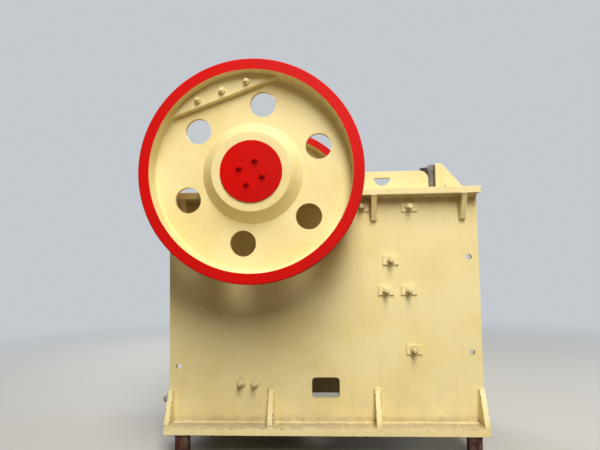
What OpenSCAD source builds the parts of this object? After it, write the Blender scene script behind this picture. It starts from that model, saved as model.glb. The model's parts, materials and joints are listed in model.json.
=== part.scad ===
// Single-toggle jaw crusher of the 600 by 900 class, with two heavy wheels on one shaft.
// Lengths are millimetres. X runs from the rear to the feed end, Y across, Z up.
// Shapes are drawn around the shaft axis, then on_axis() moves them to the part's origin.

/* [Wheels] */
// Outer diameter of both wheels
wheel_d = 1400; // [1150:10:1600]
// Width of a rim across its tread
rim_w = 290; // [200:5:360]
// Radial thickness of a rim
rim_t = 69; // [50:1:100]
// Thickness of the disc between rim and hub
web_t = 34; // [24:1:50]
// Diameter of the flat hub face
hub_face_d = 502; // [420:2:560]
// Diameter of the hub cone where it meets the disc
hub_root_d = 642; // [580:2:700]
// Width of the hub from face to face
hub_w = 192; // [150:2:230]
// Number of round holes in the disc
web_holes = 6; // [4:1:8]
// Diameter of those holes
web_hole_d = 165; // [120:5:190]
// Place of the holes across the disc, 0 at the hub and 1 at the rim
web_hole_place = 0.416; // [0.35:0.01:0.6]
// Angle of the first hole from the level line
web_hole_turn = 81.3; // [0:0.1:180]
// Diameter of the cap over each shaft end
cap_d = 390; // [300:5:420]
// Thickness of that cap
cap_t = 10; // [6:1:20]
// Place of a balance weight's straight edge, 0 at the web holes and 1 at the rim
weight_place = 0.263; // [0.05:0.001:0.5]
// Thickness of each balance weight
weight_t = 50; // [40:2:90]
// How far round a balance weight sits from midway between two web holes
weight_offset = 2; // [0:0.5:5]
// Diameter of the balance weights' bolts
weight_bolt_d = 22; // [18:1:30]
// Spread of those bolts along the straight edge, 1 where the outer ones meet the rim
weight_bolt_spread = 0.553; // [0.3:0.001:0.6]

/* [Frame] */
// Height of the shaft axis above the underside of the frame
axis_height = 1715; // [1500:5:1900]
// Side plate length behind the axis
plate_rear = 670; // [560:5:760]
// Side plate length in front of the axis
plate_front = 1495; // [1400:5:1700]
// Thickness of the side plates
plate_t = 40; // [30:1:50]
// Clear width between the side plates
inner_w = 970; // [850:5:1150]
// Drop from the axis to the top of the side plate at the feed end
front_drop = 72; // [50:2:100]
// Rise of the side plate's raised part above the axis
hump_rise = 60; // [40:2:90]
// Gap between that raised part and the front wall
hump_gap = 49; // [20:1:80]
// Corner radius at the front of the raised part
hump_r = 62; // [30:2:90]
// Distance from the side plate to the outer face of a rim
wheel_reach = 539; // [480:1:640]
// Width of the base flange outside the side plate
base_flange_w = 140; // [100:5:180]
// Width of the top flange outside the side plate
top_flange_w = 112; // [80:2:140]
// Thickness of both flanges
flange_t = 45; // [30:1:60]
// Thickness of the gussets
gusset_t = 36; // [24:1:44]
// Height of the base gussets
base_gusset_h = 232; // [180:2:280]
// Height of the gussets under the top flange
top_gusset_h = 170; // [120:2:220]
// Height of the support posts
post_h = 200; // [120:10:400]
// Width of the support posts
post_w = 85; // [70:5:120]

/* [Front wall] */
// Depth of the ribs in front of the wall
rib_depth = 235; // [180:5:280]
// Thickness of the front wall
front_wall_t = 40; // [30:1:50]
// Top of the front wall above the axis
front_wall_rise = 108; // [60:2:140]
// Number of level ribs on the front wall
rib_count = 6; // [4:1:7]
// Drop from the axis to the middle of the top rib
rib_first = 375; // [340:5:420]
// Height of the middle of the bottom rib above the underside
rib_last = 165; // [120:5:220]
// Thickness of the ribs
rib_t = 36; // [24:1:44]

/* [Crushing chamber] */
// Level width of the feed mouth between the two liners
feed_gape = 628; // [560:2:660]
// Top of the swing jaw's liner seat above the axis
jaw_top_z = 60; // [20:5:80]
// Level width of the outlet between the two liners
outlet_gap = 108; // [60:2:160]
// Height of the swing jaw's foot above the underside of the frame
jaw_foot_height = 535; // [480:5:620]
// Gap between the swing jaw and each cheek plate
jaw_side_gap = 10; // [5:1:20]
// Thickness of a jaw liner behind its teeth
liner_t = 38; // [30:1:60]
// Depth of the liner teeth
tooth_h = 38; // [20:1:50]
// Number of teeth on the swing jaw liner
tooth_count = 9; // [7:1:12]
// Thickness of the cheek plates
cheek_t = 35; // [25:1:45]

/* [Shaft and toggle] */
// Diameter of the shaft in its bearings
shaft_d = 220; // [180:2:240]
// Diameter of the shaft inside the wheel hubs
hub_bore_d = 190; // [150:2:200]
// Outer diameter of the bearing housings
housing_d = 430; // [390:2:470]
// Bore of the bearing housings
housing_bore_d = 300; // [270:2:320]
// Reach of the bearing housings outside the side plates
housing_reach = 215; // [180:5:230]
// Thickness of the toggle plate
toggle_t = 42; // [30:1:54]
// Diameter of the toggle plate's round ends
toggle_end_d = 60; // [56:1:70]
// Diameter of the tension rod
rod_d = 52; // [40:1:60]

/* [Hidden] */

// Gaps: laid = between round seats of one body, run = shaft in its bearings
laid_gap = 0.2;
run_gap = 0.08;

// Levels and half widths around the axis
base_z = -axis_height;
base_top_z = base_z + flange_t;
front_top_z = -front_drop;
inner_y = inner_w / 2;
outer_y = inner_y + plate_t;
rim_face_y = outer_y + wheel_reach;
wheel_mid_y = rim_face_y - rim_w / 2;
hub_face_y = wheel_mid_y + hub_w / 2;
hub_back_y = wheel_mid_y - hub_w / 2;
wheel_r = wheel_d / 2;
rim_r = wheel_r - rim_t;
hub_root_r = hub_root_d / 2;
web_hole_r = web_hole_d / 2;
web_hole_reach = hub_root_r + web_hole_place * (rim_r - hub_root_r);
web_hole_edge = web_hole_reach * cos(180 / web_holes) + web_hole_r;
weight_chord = web_hole_edge + weight_place * (rim_r - web_hole_edge);
weight_turn = web_hole_turn + 180 / web_holes - weight_offset;
weight_bolt_reach = weight_chord + 0.36 * (rim_r - weight_chord);
weight_bolt_pitch = weight_bolt_spread * sqrt(pow(rim_r, 2) - pow(weight_bolt_reach, 2));
front_wall_out_x = plate_front - rib_depth;
front_wall_x = front_wall_out_x - front_wall_t;
rib_pitch = (axis_height - rib_first - rib_last) / (rib_count - 1);

// Side plates: the raised part's ends
hump_front = front_wall_x - hump_gap;
hump_rear = -housing_d / 2 - 125;

// Lifting slot, access hole and round holes in the side plates
lift_x = hump_front - 322;
lift_z = hump_rise - 46;
lift_r = 56;
access_x = 428;
access_z = base_z + 281;
access_w = 190;
access_h = 140;
access_r = 26;
small_hole_r = 20;
front_hole_inset = 69;
rear_hole_inset = 66;
rear_hole_z = base_z + 427;

// Bearing housings
housing_r = housing_d / 2;
housing_bore_r = housing_bore_d / 2;
housing_y = outer_y + housing_reach;
ear_x = housing_r + 115;
ear_h = 60;
shelf_x = ear_x + 25;
cover_t = 20;
cover_r = housing_r - 22;
shaft_r = shaft_d / 2;
hub_bore_r = hub_bore_d / 2;
bearing_inset = 16;

// Gussets: rear faces of those on the base flange, of those under the top flange, and the place
// of the pair that stands beside the bearing housing, where it hangs through the top flange
base_gusset_x = [-plate_rear, 703 - plate_rear, plate_front - 733, plate_front - gusset_t];
top_gusset_x = [109 - plate_rear, plate_front - 730, plate_front - 122];
shelf_gusset_x = sqrt(pow(housing_r, 2) - pow(front_drop + flange_t, 2)) + 3;
gusset_cope_r = 22;

// Swing jaw: the seat line from its top to its foot, and its lean from the upright
liner_full = liner_t + tooth_h;
fixed_crest_x = front_wall_x - liner_full;
jaw_top_x = fixed_crest_x - feed_gape - liner_full;
jaw_foot_x = fixed_crest_x - outlet_gap - liner_full;
jaw_foot_drop = axis_height - jaw_foot_height;
jaw_w = inner_w - 2 * (cheek_t + jaw_side_gap);
jaw_run = jaw_foot_x - jaw_top_x;
jaw_drop = jaw_top_z + jaw_foot_drop;
jaw_len = sqrt(jaw_run * jaw_run + jaw_drop * jaw_drop);
jaw_lean = atan2(jaw_run, jaw_drop);
jaw_skin = 60;
barrel_r = 245;
jaw_bore_r = 160;
jaw_bearing_w = 150;
jaw_rib_t = 52;
liner_x = liner_full / cos(jaw_lean);

// Fixed jaw: back on the front wall, top level with the wall. Cheek plates end below the slot
fixed_base_x = front_wall_x - liner_t;
fixed_foot_z = -jaw_foot_drop - 20;
tooth_pitch = jaw_w / tooth_count;
cheek_split_z = -0.56 * jaw_foot_drop;
cheek_top_z = lift_z - lift_r - 20;

// Toggle: from its seat in the rear block to its seat in the jaw
block_x = 20;
block_rear_x = -220;
block_z = base_z + 322;
block_top_z = block_z + 80;
block_foot_z = block_z - 87;
toggle_end_r = toggle_end_d / 2;
toggle_x = block_x + 5;
toggle_front_x = jaw_foot_x - 270;
toggle_front_z = -jaw_foot_drop + 50;
toggle_len = norm([toggle_front_x - toggle_x, toggle_front_z - block_z]);
toggle_lean = atan2(toggle_front_z - block_z, toggle_front_x - toggle_x);
toggle_w = jaw_w - 80;

// Rear wall and tension rod
rear_wall_x = -plate_rear + 170;
rear_wall_t = 40;
rear_wall_top_z = base_z + 865;
rod_r = rod_d / 2;
rod_pin_x = jaw_foot_x - 110;
rod_pin_z = -jaw_foot_drop - 150;
rod_end_x = -plate_rear - 211;
rod_end_z = base_z + 69;
rod_run = rod_pin_x - rod_end_x;
rod_fall = rod_pin_z - rod_end_z;
rod_len = norm([rod_run, rod_fall]);
rod_lean = atan2(rod_fall, rod_run);
rod_seat_r = 62;
rod_seat = (rod_pin_x - rear_wall_x) / cos(rod_lean) + 34;
spring_len = 240;
spring_turns = 7;
spring_r = 42;
spring_wire_r = 9;

// Bolts through the side plates: cheek plate bolts with their washer plates, and block bolts
// Each cheek bolt: distance behind the front wall, and its share of the way from top flange to jaw foot
cheek_bolts = [[189, 0.043], [520, 0.037], [326, 0.400], [362, 0.602], [205, 0.602], [182, 0.995]];
block_bolts = [[-159, block_z], [-61, block_z]];
bolt_plate = [108, 66, 12];
cheek_bolt_drop = front_drop + flange_t + bolt_plate[1] / 2;
cheek_nut_r = 27;
cheek_bolt_r = 15;
block_nut_r = 43;
block_bolt_r = 24;

// Overall box, which puts the origin under the middle of the machine
x_low = min(rod_end_x - rod_r * sin(rod_lean), -wheel_r);
x_high = max(plate_front, wheel_r);
origin_x = (x_low + x_high) / 2;
origin_z = base_z - post_h;

cream = [0.93, 0.87, 0.6];
red = [0.86, 0.06, 0.05];
tread = [0.2, 0.2, 0.22];
steel = [0.55, 0.54, 0.52];
cast = [0.24, 0.24, 0.25];
oxide = [0.33, 0.1, 0.07];

module on_axis() {
    translate([-origin_x, 0, -origin_z])
        children();
}

// Drawings in the XZ plane, made solid from y to y + t
module across(y, t) {
    translate([0, y + t, 0])
        rotate([90, 0, 0])
            linear_extrude(t)
                children();
}

// Drawings in the YZ plane, made solid from x to x + t
module along(x, t) {
    translate([x, 0, 0])
        rotate([90, 0, 90])
            linear_extrude(t)
                children();
}

// A round bar along Y between two values of y
module bar(r, y0, y1) {
    translate([0, y1, 0])
        rotate([90, 0, 0])
            cylinder(r = r, h = y1 - y0, $fn = 96);
}

module far_side() {
    mirror([0, 1, 0])
        children();
}

// What is left of a square corner outside its rounding
module corner_waste(r, turn) {
    rotate(turn)
        translate([-r, -r])
            difference() {
                square(r + 1);
                circle(r = r, $fn = 64);
            }
}

module rounded_window(w, h, r) {
    difference() {
        translate([-w / 2, -h / 2])
            square([w, h]);
        for (q = [[1, 1, 0], [-1, 1, 90], [-1, -1, 180], [1, -1, 270]])
            translate([q[0] * w / 2, q[1] * h / 2])
                corner_waste(r, q[2]);
    }
}

module half_round_slot(r) {
    difference() {
        circle(r = r, $fn = 64);
        translate([-r - 1, 0])
            square([2 * r + 2, r + 1]);
    }
}

module side_outline() {
    difference() {
        polygon([
            [-plate_rear, base_z], [plate_front, base_z], [plate_front, front_top_z],
            [hump_front, front_top_z], [hump_front, hump_rise], [hump_rear, hump_rise],
            [hump_rear, front_top_z], [-plate_rear, front_top_z]
        ]);
        translate([hump_front, hump_rise])
            corner_waste(hump_r, 0);
        translate([hump_rear, hump_rise])
            corner_waste(hump_r, 90);
        circle(r = housing_r + laid_gap, $fn = 96);
        translate([-housing_r - laid_gap, 0])
            square([housing_d + 2 * laid_gap, housing_d]);
        translate([lift_x, lift_z])
            half_round_slot(lift_r);
        translate([access_x, access_z])
            rounded_window(access_w, access_h, access_r);
        for (k = [0, 3])
            translate([plate_front - front_hole_inset, -rib_first - (k + 0.5) * rib_pitch])
                circle(r = small_hole_r, $fn = 32);
        translate([-plate_rear + rear_hole_inset, rear_hole_z])
            circle(r = small_hole_r, $fn = 32);
    }
}

module side_plate() {
    color(cream)
        across(-outer_y, plate_t)
            side_outline();
}

module side_plate_near() {
    on_axis()
        side_plate();
}

module side_plate_far() {
    on_axis()
        far_side()
            side_plate();
}

// Flange outside the plate's top, wider where the bearing housing stands on it
module top_flange() {
    color(cream)
        difference() {
            translate([0, 0, front_top_z - flange_t])
                linear_extrude(flange_t)
                    polygon([
                        [-plate_rear, -outer_y], [plate_front, -outer_y],
                        [plate_front, -outer_y - top_flange_w],
                        [shelf_x + 90, -outer_y - top_flange_w], [shelf_x, -housing_y],
                        [-shelf_x, -housing_y], [-shelf_x - 90, -outer_y - top_flange_w],
                        [-plate_rear, -outer_y - top_flange_w]
                    ]);
            bar(housing_r + laid_gap, -housing_y - 1, -outer_y + 1);
        }
}

module top_flange_near() {
    on_axis()
        top_flange();
}

module top_flange_far() {
    on_axis()
        far_side()
            top_flange();
}

module base_flange() {
    color(cream)
        translate([-plate_rear, -outer_y - base_flange_w, base_z])
            cube([plate_rear + plate_front, base_flange_w, flange_t]);
}

module base_flange_near() {
    on_axis()
        base_flange();
}

module base_flange_far() {
    on_axis()
        far_side()
            base_flange();
}

// Gusset with a sloping outer edge, coped at the corner over the weld of plate and flange
module base_gusset(x) {
    along(x, gusset_t)
        difference() {
            polygon([
                [-outer_y, base_top_z], [-outer_y - base_flange_w + 10, base_top_z],
                [-outer_y - base_flange_w + 10, base_top_z + 22],
                [-outer_y - 22, base_top_z + base_gusset_h], [-outer_y, base_top_z + base_gusset_h]
            ]);
            translate([-outer_y, base_top_z])
                circle(r = gusset_cope_r, $fn = 48);
        }
}

module base_gussets() {
    color(cream)
        for (x = base_gusset_x)
            base_gusset(x);
}

module base_gussets_near() {
    on_axis()
        base_gussets();
}

module base_gussets_far() {
    on_axis()
        far_side()
            base_gussets();
}

module flange_gusset(x, reach) {
    under = front_top_z - flange_t;
    along(x, gusset_t)
        difference() {
            polygon([
                [-outer_y, under], [-outer_y - reach, under], [-outer_y - reach, under - 18],
                [-outer_y - 26, under - top_gusset_h], [-outer_y, under - top_gusset_h]
            ]);
            translate([-outer_y, under])
                circle(r = gusset_cope_r, $fn = 48);
        }
}

module flange_gussets() {
    color(cream) {
        for (x = top_gusset_x)
            flange_gusset(x, top_flange_w - 8);
        for (x = [-shelf_gusset_x - gusset_t, shelf_gusset_x])
            flange_gusset(x, housing_y - outer_y - 10);
    }
}

module flange_gussets_near() {
    on_axis()
        flange_gussets();
}

module flange_gussets_far() {
    on_axis()
        far_side()
            flange_gussets();
}

// Wall between the side plates; above them it runs out to their outer faces
module front_wall() {
    foot_z = base_z + 75;
    on_axis()
        color(cream)
            along(front_wall_x, front_wall_t)
                polygon([
                    [-inner_y, foot_z], [inner_y, foot_z], [inner_y, front_top_z],
                    [outer_y, front_top_z], [outer_y, front_wall_rise],
                    [-outer_y, front_wall_rise], [-outer_y, front_top_z], [-inner_y, front_top_z]
                ]);
}

module front_ribs() {
    on_axis()
        color(cream)
            for (k = [0:rib_count - 1])
                translate([front_wall_out_x, -inner_y, -rib_first - k * rib_pitch - rib_t / 2])
                    cube([rib_depth, inner_w, rib_t]);
}

// Triangles that brace the top of the front wall
module front_top_gussets() {
    reach = 155;
    rib_top = -rib_first + rib_t / 2;
    on_axis()
        color(cream) {
            for (y = [-outer_y, outer_y - gusset_t])
                across(y, gusset_t)
                    difference() {
                        polygon([
                            [front_wall_out_x, front_top_z],
                            [front_wall_out_x + reach, front_top_z],
                            [front_wall_out_x + 3, front_wall_rise],
                            [front_wall_out_x, front_wall_rise]
                        ]);
                        translate([front_wall_out_x + 26, front_top_z + 15])
                            circle(r = 9, $fn = 32);
                    }
            for (y = [-inner_y / 3, inner_y / 3])
                across(y - gusset_t / 2, gusset_t)
                    polygon([
                        [front_wall_out_x, rib_top], [plate_front - 25, rib_top],
                        [plate_front - 25, rib_top + 30], [front_wall_out_x + 30, 0],
                        [front_wall_out_x, 0]
                    ]);
        }
}

module rear_wall() {
    foot_z = base_z + 30;
    slot_z = rod_pin_z - (rod_pin_x - rear_wall_x - rear_wall_t / 2) * tan(rod_lean);
    on_axis()
        color(cream)
            along(rear_wall_x, rear_wall_t)
                difference() {
                    translate([-inner_y, foot_z])
                        square([inner_w, rear_wall_top_z - foot_z]);
                    translate([0, slot_z])
                        rounded_window(90, 110, 30);
                }
}

module rear_ribs() {
    depth = 150;
    on_axis()
        color(cream)
            for (z = [rear_wall_top_z - rib_t, base_z + 500, base_z + 4])
                translate([rear_wall_x - depth, -inner_y, z])
                    cube([depth, inner_w, rib_t]);
}

// Tie plate across the top of the rear opening, its upper edge rising to the middle
module rear_top_beam() {
    foot = hump_rise - 480;
    on_axis()
        color(cast)
            along(hump_rear - 105, 30)
                polygon([
                    [-inner_y, foot], [inner_y, foot], [inner_y, foot + 290], [170, foot + 395],
                    [-170, foot + 395], [-inner_y, foot + 290]
                ]);
}

// Seat beam for the rear end of the toggle plate, notched below for the tension rod
module toggle_block() {
    on_axis()
        color(cast)
            difference() {
                translate([block_rear_x, -inner_y, block_foot_z])
                    cube([block_x - block_rear_x, inner_w, block_top_z - block_foot_z]);
                translate([toggle_x, 0, block_z])
                    bar(toggle_end_r + laid_gap, -inner_y - 1, inner_y + 1);
                translate([block_rear_x - 1, -60, block_foot_z - 1])
                    cube([block_x - block_rear_x + 2, 120, 55]);
            }
}

module block_struts() {
    start = rear_wall_x + rear_wall_t;
    on_axis()
        color(cream)
            for (y = [-360, -140, 140, 360])
                translate([start, y - gusset_t / 2, block_foot_z + 12])
                    cube([block_rear_x - start, gusset_t, block_top_z - block_foot_z - 24]);
}

module toggle_frame() {
    translate([toggle_x, 0, block_z])
        rotate([0, -toggle_lean, 0])
            children();
}

module toggle_plate() {
    on_axis()
        color(cast)
            toggle_frame()
                across(-toggle_w / 2, toggle_w)
                    union() {
                        circle(r = toggle_end_r, $fn = 64);
                        translate([toggle_len, 0])
                            circle(r = toggle_end_r, $fn = 64);
                        translate([0, -toggle_t / 2])
                            square([toggle_len, toggle_t]);
                    }
}

module rod_frame() {
    translate([rod_pin_x, 0, rod_pin_z])
        rotate([0, -rod_lean, 0])
            children();
}

// A round bar along the rod's own line, from a to b behind the pin
module rod_piece(r, a, b) {
    translate([-b, 0, 0])
        rotate([0, 90, 0])
            cylinder(r = r, h = b - a, $fn = 64);
}

module hex_piece(r, a, b) {
    translate([-b, 0, 0])
        rotate([0, 90, 0])
            cylinder(r = r, h = b - a, $fn = 6);
}

module tension_rod() {
    on_axis()
        color(steel)
            rod_frame()
                difference() {
                    union() {
                        rod_piece(rod_r, 20, rod_len);
                        bar(52, -34, 34);
                    }
                    bar(22 + laid_gap, -40, 40);
                }
}

// Points of a round wire wound along z: rings of n points, many rings to a turn
function coil_rings(turns, per_turn, n, r, wire, pitch) = [
    for (k = [0:turns * per_turn])
        let (turn = 360 * k / per_turn, rise = pitch * k / per_turn)
            for (j = [0:n - 1])
                let (q = 360 * j / n, reach = r + wire * cos(q))
                    [reach * cos(turn), reach * sin(turn), rise + wire * sin(q)]
];

function coil_faces(rings, n) = concat(
    [[for (j = [0:n - 1]) j]],
    [
        for (k = [0:rings - 2])
            for (j = [0:n - 1])
                let (a = k * n + j, b = k * n + (j + 1) % n)
                    each [[a, a + n, b + n], [a, b + n, b]]
    ],
    [[for (j = [n - 1:-1:0]) (rings - 1) * n + j]]
);

module rod_spring() {
    per_turn = 14;
    sides = 8;
    pitch = (spring_len - 2 * spring_wire_r) / spring_turns;
    on_axis()
        color(tread)
            rod_frame()
                translate([-rod_seat - spring_len + spring_wire_r, 0, 0])
                    rotate([0, 90, 0])
                        polyhedron(
                            coil_rings(spring_turns, per_turn, sides, spring_r, spring_wire_r, pitch),
                            coil_faces(spring_turns * per_turn + 1, sides)
                        );
}

// Spring seat bedded on the rear wall, and the washer and two nuts behind the spring
module rod_fittings() {
    tail = rod_seat + spring_len;
    on_axis()
        color(steel) {
            difference() {
                rod_frame()
                    difference() {
                        rod_piece(rod_seat_r, rod_seat - 60, rod_seat);
                        rod_piece(rod_r + laid_gap, rod_seat - 61, rod_seat + 1);
                    }
                translate([rear_wall_x, -200, -axis_height])
                    cube([400, 400, axis_height]);
            }
            rod_frame()
                difference() {
                    union() {
                        rod_piece(rod_seat_r - 4, tail, tail + 14);
                        hex_piece(48, tail + 14, tail + 52);
                        hex_piece(48, tail + 52, tail + 78);
                    }
                    rod_piece(rod_r + laid_gap, tail - 1, tail + 80);
                }
        }
}

module jaw_frame() {
    translate([jaw_top_x, 0, jaw_top_z])
        rotate([0, -jaw_lean, 0])
            children();
}

// Swing jaw casting: barrel on the shaft, leaning face plate, four ribs, toggle seat, rod lugs
module swing_jaw() {
    half = jaw_w / 2;
    rib_y = [-half, -half / 3 - jaw_rib_t / 2, half / 3 - jaw_rib_t / 2, half - jaw_rib_t];
    on_axis()
        color(cast)
            difference() {
                union() {
                    bar(barrel_r, -half, half);
                    jaw_frame()
                        translate([-jaw_skin, -half, -jaw_len])
                            cube([jaw_skin, jaw_w, jaw_len]);
                    across(-half, jaw_w)
                        polygon([
                            [0, 100], [40, barrel_r - 4], [jaw_top_x - 60, jaw_top_z + 34],
                            [jaw_top_x, jaw_top_z], [jaw_top_x + 25, jaw_top_z - 60],
                            [jaw_top_x - 70, jaw_top_z - 70], [200, 0]
                        ]);
                    for (y = rib_y)
                        across(y, jaw_rib_t)
                            polygon([
                                [20, 0], [60, -barrel_r + 10], [330, -600],
                                [toggle_front_x + 50, toggle_front_z + 60],
                                [toggle_front_x + 90, toggle_front_z - 40],
                                [jaw_foot_x - 45, -jaw_foot_drop + 15], [jaw_top_x - 20, 0]
                            ]);
                    toggle_frame()
                        translate([toggle_len + 6, -half, -78])
                            cube([130, jaw_w, 156]);
                    for (y = [-80, 42])
                        across(y, 38)
                            union() {
                                polygon([
                                    [rod_pin_x - 110, toggle_front_z], [rod_pin_x + 60, toggle_front_z],
                                    [rod_pin_x + 50, rod_pin_z], [rod_pin_x - 50, rod_pin_z]
                                ]);
                                translate([rod_pin_x, rod_pin_z])
                                    circle(r = 50, $fn = 64);
                            }
                    translate([rod_pin_x, 0, rod_pin_z])
                        bar(22, -92, 92);
                }
                for (s = [-1, 1])
                    translate([0, s * (half - jaw_bearing_w / 2), 0])
                        bar(jaw_bore_r, -jaw_bearing_w / 2 - 1, jaw_bearing_w / 2 + 1);
                bar(shaft_r + 20, -half, half);
                toggle_frame()
                    translate([toggle_len, 0, 0])
                        bar(toggle_end_r + laid_gap, -half - 1, half + 1);
            }
}

// Points across a toothed liner, from one edge to the other: [y, height above the root]
function tooth_row(n, pitch, crest, root, high) = [
    for (k = [0:n - 1])
        let (y0 = (k - n / 2) * pitch)
            each [
                [y0 + root / 2, 0], [y0 + (pitch - crest) / 2, high],
                [y0 + (pitch + crest) / 2, high], [y0 + pitch - root / 2, 0]
            ]
];

// Cross-section of a liner in the XY plane, its back at x = 0 and its teeth towards +x
module liner_section(n, pitch, half) {
    row = tooth_row(n, pitch, 26, 18, tooth_h);
    polygon(concat(
        [[0, -half], [liner_t, -half]],
        [for (p = row) [liner_t + p[1], p[0]]],
        [[liner_t, half], [0, half]]
    ));
}

module swing_jaw_liner() {
    on_axis()
        color(steel)
            jaw_frame()
                translate([0, 0, -jaw_len])
                    linear_extrude(jaw_len - 20)
                        liner_section(tooth_count, tooth_pitch * 0.985, jaw_w / 2 - 1);
}

// Bar that holds the top of the swing jaw's liner
module liner_clamp() {
    half = jaw_w / 2 - 10;
    on_axis()
        color(cast)
            jaw_frame()
                across(-half, 2 * half)
                    polygon([[0, -20], [liner_t, -20], [liner_t + 8, -2], [22, 42], [0, 42]]);
}

// Fixed liner: one tooth fewer, so that each of its teeth faces a valley of the swing jaw's liner
module fixed_jaw_liner() {
    on_axis()
        color(steel)
            translate([front_wall_x, 0, fixed_foot_z])
                mirror([1, 0, 0])
                    linear_extrude(front_wall_rise - fixed_foot_z)
                        liner_section(tooth_count - 1, tooth_pitch * 0.985, inner_y - 3);
}

module liner_ledge() {
    on_axis()
        color(cream)
            across(-inner_y, inner_w)
                polygon([
                    [front_wall_x, fixed_foot_z], [front_wall_x - 60, fixed_foot_z],
                    [front_wall_x - 60, fixed_foot_z - 30], [front_wall_x, fixed_foot_z - 80]
                ]);
}

function cheek_rear_x(z) = jaw_top_x + (jaw_top_z - z) * tan(jaw_lean) + liner_x - 130;

module cheek_piece(z_low, z_high) {
    across(-inner_y, cheek_t)
        polygon([
            [cheek_rear_x(z_low), z_low], [fixed_base_x, z_low],
            [fixed_base_x, z_high], [cheek_rear_x(z_high), z_high]
        ]);
}

// Wear plates on the chamber's sides, an upper and a lower one
module cheek_plates() {
    color(steel) {
        cheek_piece(cheek_split_z + 2, cheek_top_z);
        cheek_piece(fixed_foot_z, cheek_split_z - 2);
    }
}

module cheek_plates_near() {
    on_axis()
        cheek_plates();
}

module cheek_plates_far() {
    on_axis()
        far_side()
            cheek_plates();
}

// Lower half of a bearing housing, seated in the side plate's cut-out and on the flange
module bearing_saddle() {
    color(cream)
        difference() {
            union() {
                bar(housing_r, -housing_y, -inner_y);
                translate([-ear_x, -housing_y, front_top_z])
                    cube([2 * ear_x, housing_y - outer_y, -front_top_z]);
            }
            bar(housing_bore_r, -housing_y - 1, -inner_y + 1);
            translate([-ear_x - 1, -housing_y - 1, 0])
                cube([2 * ear_x + 2, housing_y, housing_d]);
        }
}

module bearing_saddle_near() {
    on_axis()
        bearing_saddle();
}

module bearing_saddle_far() {
    on_axis()
        far_side()
            bearing_saddle();
}

// Upper half with bolting ears and a lifting lug
module bearing_cap() {
    color(cream)
        difference() {
            union() {
                bar(housing_r, -housing_y, -inner_y);
                translate([-ear_x, -housing_y, 0])
                    cube([2 * ear_x, housing_y - outer_y, ear_h]);
                for (s = [-1, 1])
                    translate([s * (housing_r + 10) - 18, -housing_y, 0])
                        cube([36, housing_y - outer_y, ear_h + 60]);
                across(-(housing_y + outer_y) / 2 - 15, 30)
                    difference() {
                        translate([-45, housing_r - 20])
                            square([90, 80]);
                        translate([0, housing_r + 28])
                            circle(r = 18, $fn = 32);
                    }
            }
            bar(housing_bore_r, -housing_y - 1, -inner_y + 1);
            translate([-ear_x - 1, -housing_y - 1, -housing_d])
                cube([2 * ear_x + 2, housing_y, housing_d]);
        }
}

module bearing_cap_near() {
    on_axis()
        bearing_cap();
}

module bearing_cap_far() {
    on_axis()
        far_side()
            bearing_cap();
}

module bearing_covers() {
    on_axis()
        color(cream)
            for (s = [-1, 1])
                translate([0, s * (housing_y + cover_t / 2), 0])
                    difference() {
                        bar(cover_r, -cover_t / 2, cover_t / 2);
                        bar(shaft_r + 6, -cover_t, cover_t);
                    }
}

module main_bearings() {
    low = inner_y + bearing_inset;
    high = housing_y - bearing_inset;
    on_axis()
        color(steel)
            for (s = [-1, 1])
                translate([0, s * (low + high) / 2, 0])
                    difference() {
                        bar(housing_bore_r - laid_gap, -(high - low) / 2, (high - low) / 2);
                        bar(shaft_r + run_gap, -high, high);
                    }
}

module jaw_bearings() {
    wide = jaw_bearing_w - 12;
    on_axis()
        color(steel)
            for (s = [-1, 1])
                translate([0, s * (jaw_w / 2 - jaw_bearing_w / 2), 0])
                    difference() {
                        bar(jaw_bore_r - laid_gap, -wide / 2, wide / 2);
                        bar(shaft_r + run_gap, -wide, wide);
                    }
}

function bolt_level(part) = -cheek_bolt_drop - part * (jaw_foot_drop - cheek_bolt_drop);

// Washer plate, nut and bolt end on the outside of the side plate
module cheek_bolt() {
    across(-bolt_plate[2], bolt_plate[2])
        translate([-bolt_plate[0] / 2, -bolt_plate[1] / 2])
            square([bolt_plate[0], bolt_plate[1]]);
    across(-bolt_plate[2] - 22, 22)
        circle(r = cheek_nut_r, $fn = 6);
    across(-bolt_plate[2] - 36, 20)
        circle(r = cheek_bolt_r, $fn = 32);
}

module block_bolt() {
    across(-34, 34)
        circle(r = block_nut_r, $fn = 6);
    across(-66, 40)
        circle(r = block_bolt_r, $fn = 32);
}

module plate_bolts() {
    color(cream) {
        for (p = cheek_bolts)
            translate([front_wall_x - p[0], -outer_y, bolt_level(p[1])])
                cheek_bolt();
        for (p = block_bolts)
            translate([p[0], -outer_y, p[1]])
                block_bolt();
    }
}

module plate_bolts_near() {
    on_axis()
        plate_bolts();
}

module plate_bolts_far() {
    on_axis()
        far_side()
            plate_bolts();
}

// Square tube posts, closed at both ends by a plate
module support_posts() {
    end_t = 12;
    wall = 8;
    on_axis()
        color(oxide)
            for (x = [-plate_rear + 121, plate_front - 98])
                for (s = [-1, 1])
                    translate([x, s * (outer_y + base_flange_w - 10 - post_w / 2), origin_z])
                        difference() {
                            translate([-post_w / 2, -post_w / 2, 0])
                                cube([post_w, post_w, post_h]);
                            translate([-post_w / 2 + wall, -post_w / 2 + wall, end_t])
                                cube([post_w - 2 * wall, post_w - 2 * wall, post_h - 2 * end_t]);
                        }
}

module shaft() {
    on_axis()
        color(steel)
            union() {
                bar(shaft_r, -hub_back_y + laid_gap, hub_back_y - laid_gap);
                bar(hub_bore_r - laid_gap, -hub_face_y + 4, hub_face_y - 4);
            }
}

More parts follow.
